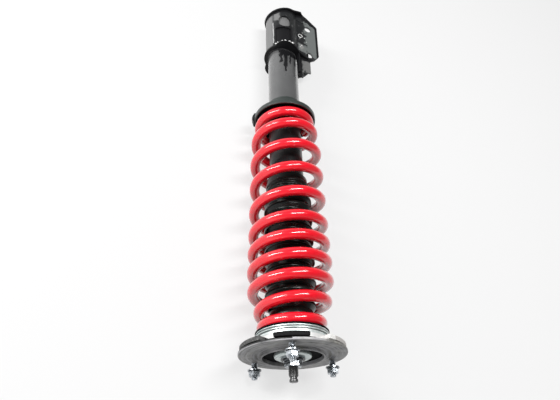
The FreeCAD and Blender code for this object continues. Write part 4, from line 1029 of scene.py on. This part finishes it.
STUD_CIRCLE = 56.0       # radius of the circle that the studs stand on
STUD_ANGLES = [math.radians(degrees) for degrees in (114.0, 234.0, 354.0)]
STUD_PLACES = [(STUD_CIRCLE * math.cos(angle), STUD_CIRCLE * math.sin(angle)) for angle in STUD_ANGLES]
stud_threads = put_in("stud_threads", thread_mesh("stud_threads", STUD_PLACES, -20.0, -0.4, 4.0, 3.4),
                      "mount_studs", zinc_plate)
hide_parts("mount_studs")
rod_thread = put_in("rod_thread", thread_mesh("rod_thread", [(0.0, 0.0)], -24.0, -5.0, 6.0, 5.3),
                    "damper_rod", black_oxide)
rod_tip = put_in("rod_tip", spun_mesh("rod_tip", rounded([
    (0.0, -31.0), (4.6, -31.0, 0.5), (5.2, -30.4), (5.2, -28.0), (4.3, -27.4), (4.3, -25.4), (5.4, -24.6),
    (5.2, -10.0), (5.2, 14.0), (0.0, 14.0)], 0.2)), "damper_rod", black_oxide)
ROD = 10.0               # radius of the polished rod
polished_rod = spun("polished_rod", "damper_rod", hard_chrome, [
    (0.0, 14.0), (ROD, 14.0), (ROD, 336.0), (6.0, 336.0), (6.0, 365.0), (5.0, 366.0), (0.0, 366.0)], 0.4)
print("studs at", [(round(x, 1), round(z, 1)) for x, z in STUD_PLACES])
for obj in (stud_threads, rod_thread, rod_tip, polished_rod):
    print("faces of", obj.name, len(obj.data.polygons))

# %% [markdown]
# ## Floor
# The strut lies on a pale floor that meets the mount's rim and the bracket's
# rim, so it leans a little. The floor gives some light of its own to camera,
# glossy and transmission rays, so that it stays near white in the picture and
# in reflections and still keeps the soft shadow.

# %% Floor
FLOOR_DROP = 66.75                        # just below the plate's rim
RIM_STEP, RIM_AWAY = 25.2, 493.0          # the bracket's rim is this much smaller, this far along the strut
LEAN = math.atan2(RIM_STEP, RIM_AWAY)
GLOW = 0.67                               # strength of the floor's own light

shape = bmesh.new()
bmesh.ops.create_grid(shape, x_segments=2, y_segments=2, size=40.0)
floor_mesh = bpy.data.meshes.new("studio_floor")
shape.to_mesh(floor_mesh)
shape.free()
floor = bpy.data.objects.new("studio_floor", floor_mesh)
bpy.context.scene.collection.objects.link(floor)
floor.location = point(0.0, 0.0, -FLOOR_DROP)
floor.rotation_euler = (LEAN, 0.0, 0.0)
paper = bpy.data.materials.new("pale_paper")
paper.use_nodes = True
tree = paper.node_tree
surface = tree.nodes["Principled BSDF"].inputs
surface["Base Color"].default_value = (0.22, 0.22, 0.22, 1.0)
surface["Roughness"].default_value = 0.9
surface["Specular IOR Level"].default_value = 0.0
surface["Emission Color"].default_value = (1.0, 1.0, 1.0, 1.0)
rays = tree.nodes.new("ShaderNodeLightPath").outputs
seen = maths(tree, "MAXIMUM", rays["Is Camera Ray"], rays["Is Glossy Ray"])
seen = maths(tree, "MAXIMUM", seen, rays["Is Transmission Ray"])
feed(tree, surface["Emission Strength"], maths(tree, "MULTIPLY", seen, GLOW))
floor_mesh.materials.append(paper)
floor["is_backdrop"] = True
print("the floor leans by", round(math.degrees(LEAN), 2), "degrees")

# %% [markdown]
# ## Surround and lamps
# A white surround fills the shadows. It is stronger on the left and low down,
# as beside a studio's white wall, which gives the black paint its pale left
# side. A long lamp on the left and one above draw the two highlights along each
# coil of the spring.

# %% Surround and lamps
world = bpy.data.worlds.new("white_surround")
bpy.context.scene.world = world
world.use_nodes = True
tree = world.node_tree
surround = tree.nodes["Background"].inputs
axes = split(tree, tree.nodes.new("ShaderNodeTexCoord").outputs["Generated"])
rise = span(tree, axes["Z"], 0.20, 0.70, 0.50, 0.14)      # stronger low down than overhead
side = span(tree, axes["X"], -0.60, 0.60, 1.9, 0.6)       # and on the left than on the right
feed(tree, surround["Strength"], maths(tree, "MULTIPLY", rise, side))
surround["Color"].default_value = (1.0, 1.0, 1.0, 1.0)

LAMP_WIDTH, LAMP_LENGTH = 0.20, 1.20      # metres
LAMP_AIM = Vector((0.0, 0.25, 0.0))


def soft_lamp(name, place, power):
    lamp_data = bpy.data.lights.new(name, "AREA")
    lamp_data.shape = "RECTANGLE"
    lamp_data.size = LAMP_WIDTH
    lamp_data.size_y = LAMP_LENGTH
    lamp_data.energy = power
    lamp = bpy.data.objects.new(name, lamp_data)
    bpy.context.scene.collection.objects.link(lamp)
    lamp.location = place
    lamp.rotation_euler = (LAMP_AIM - Vector(place)).to_track_quat("-Z", "Y").to_euler()
    return lamp


left_lamp = soft_lamp("left_lamp", (-1.42, 0.46, 0.90), 24.0)
top_lamp = soft_lamp("top_lamp", (0.12, 0.30, 1.75), 26.0)
print("lamps:", left_lamp.name, top_lamp.name)

# %% [markdown]
# ## View
# The standard view shows each colour as it was set, without a film curve, so
# that the picture can be compared with a photograph patch by patch.

# %% View settings
scene = bpy.context.scene
scene.view_settings.view_transform = "Standard"
print("view:", scene.view_settings.view_transform)

# %% [markdown]
# ## The dressed box
# The dressed strut must stay inside the measured frame, so its box is printed.

# %% Print the dressed box
low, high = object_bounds()
print("dressed box in metres:", [round(v, 4) for v in low], [round(v, 4) for v in high])
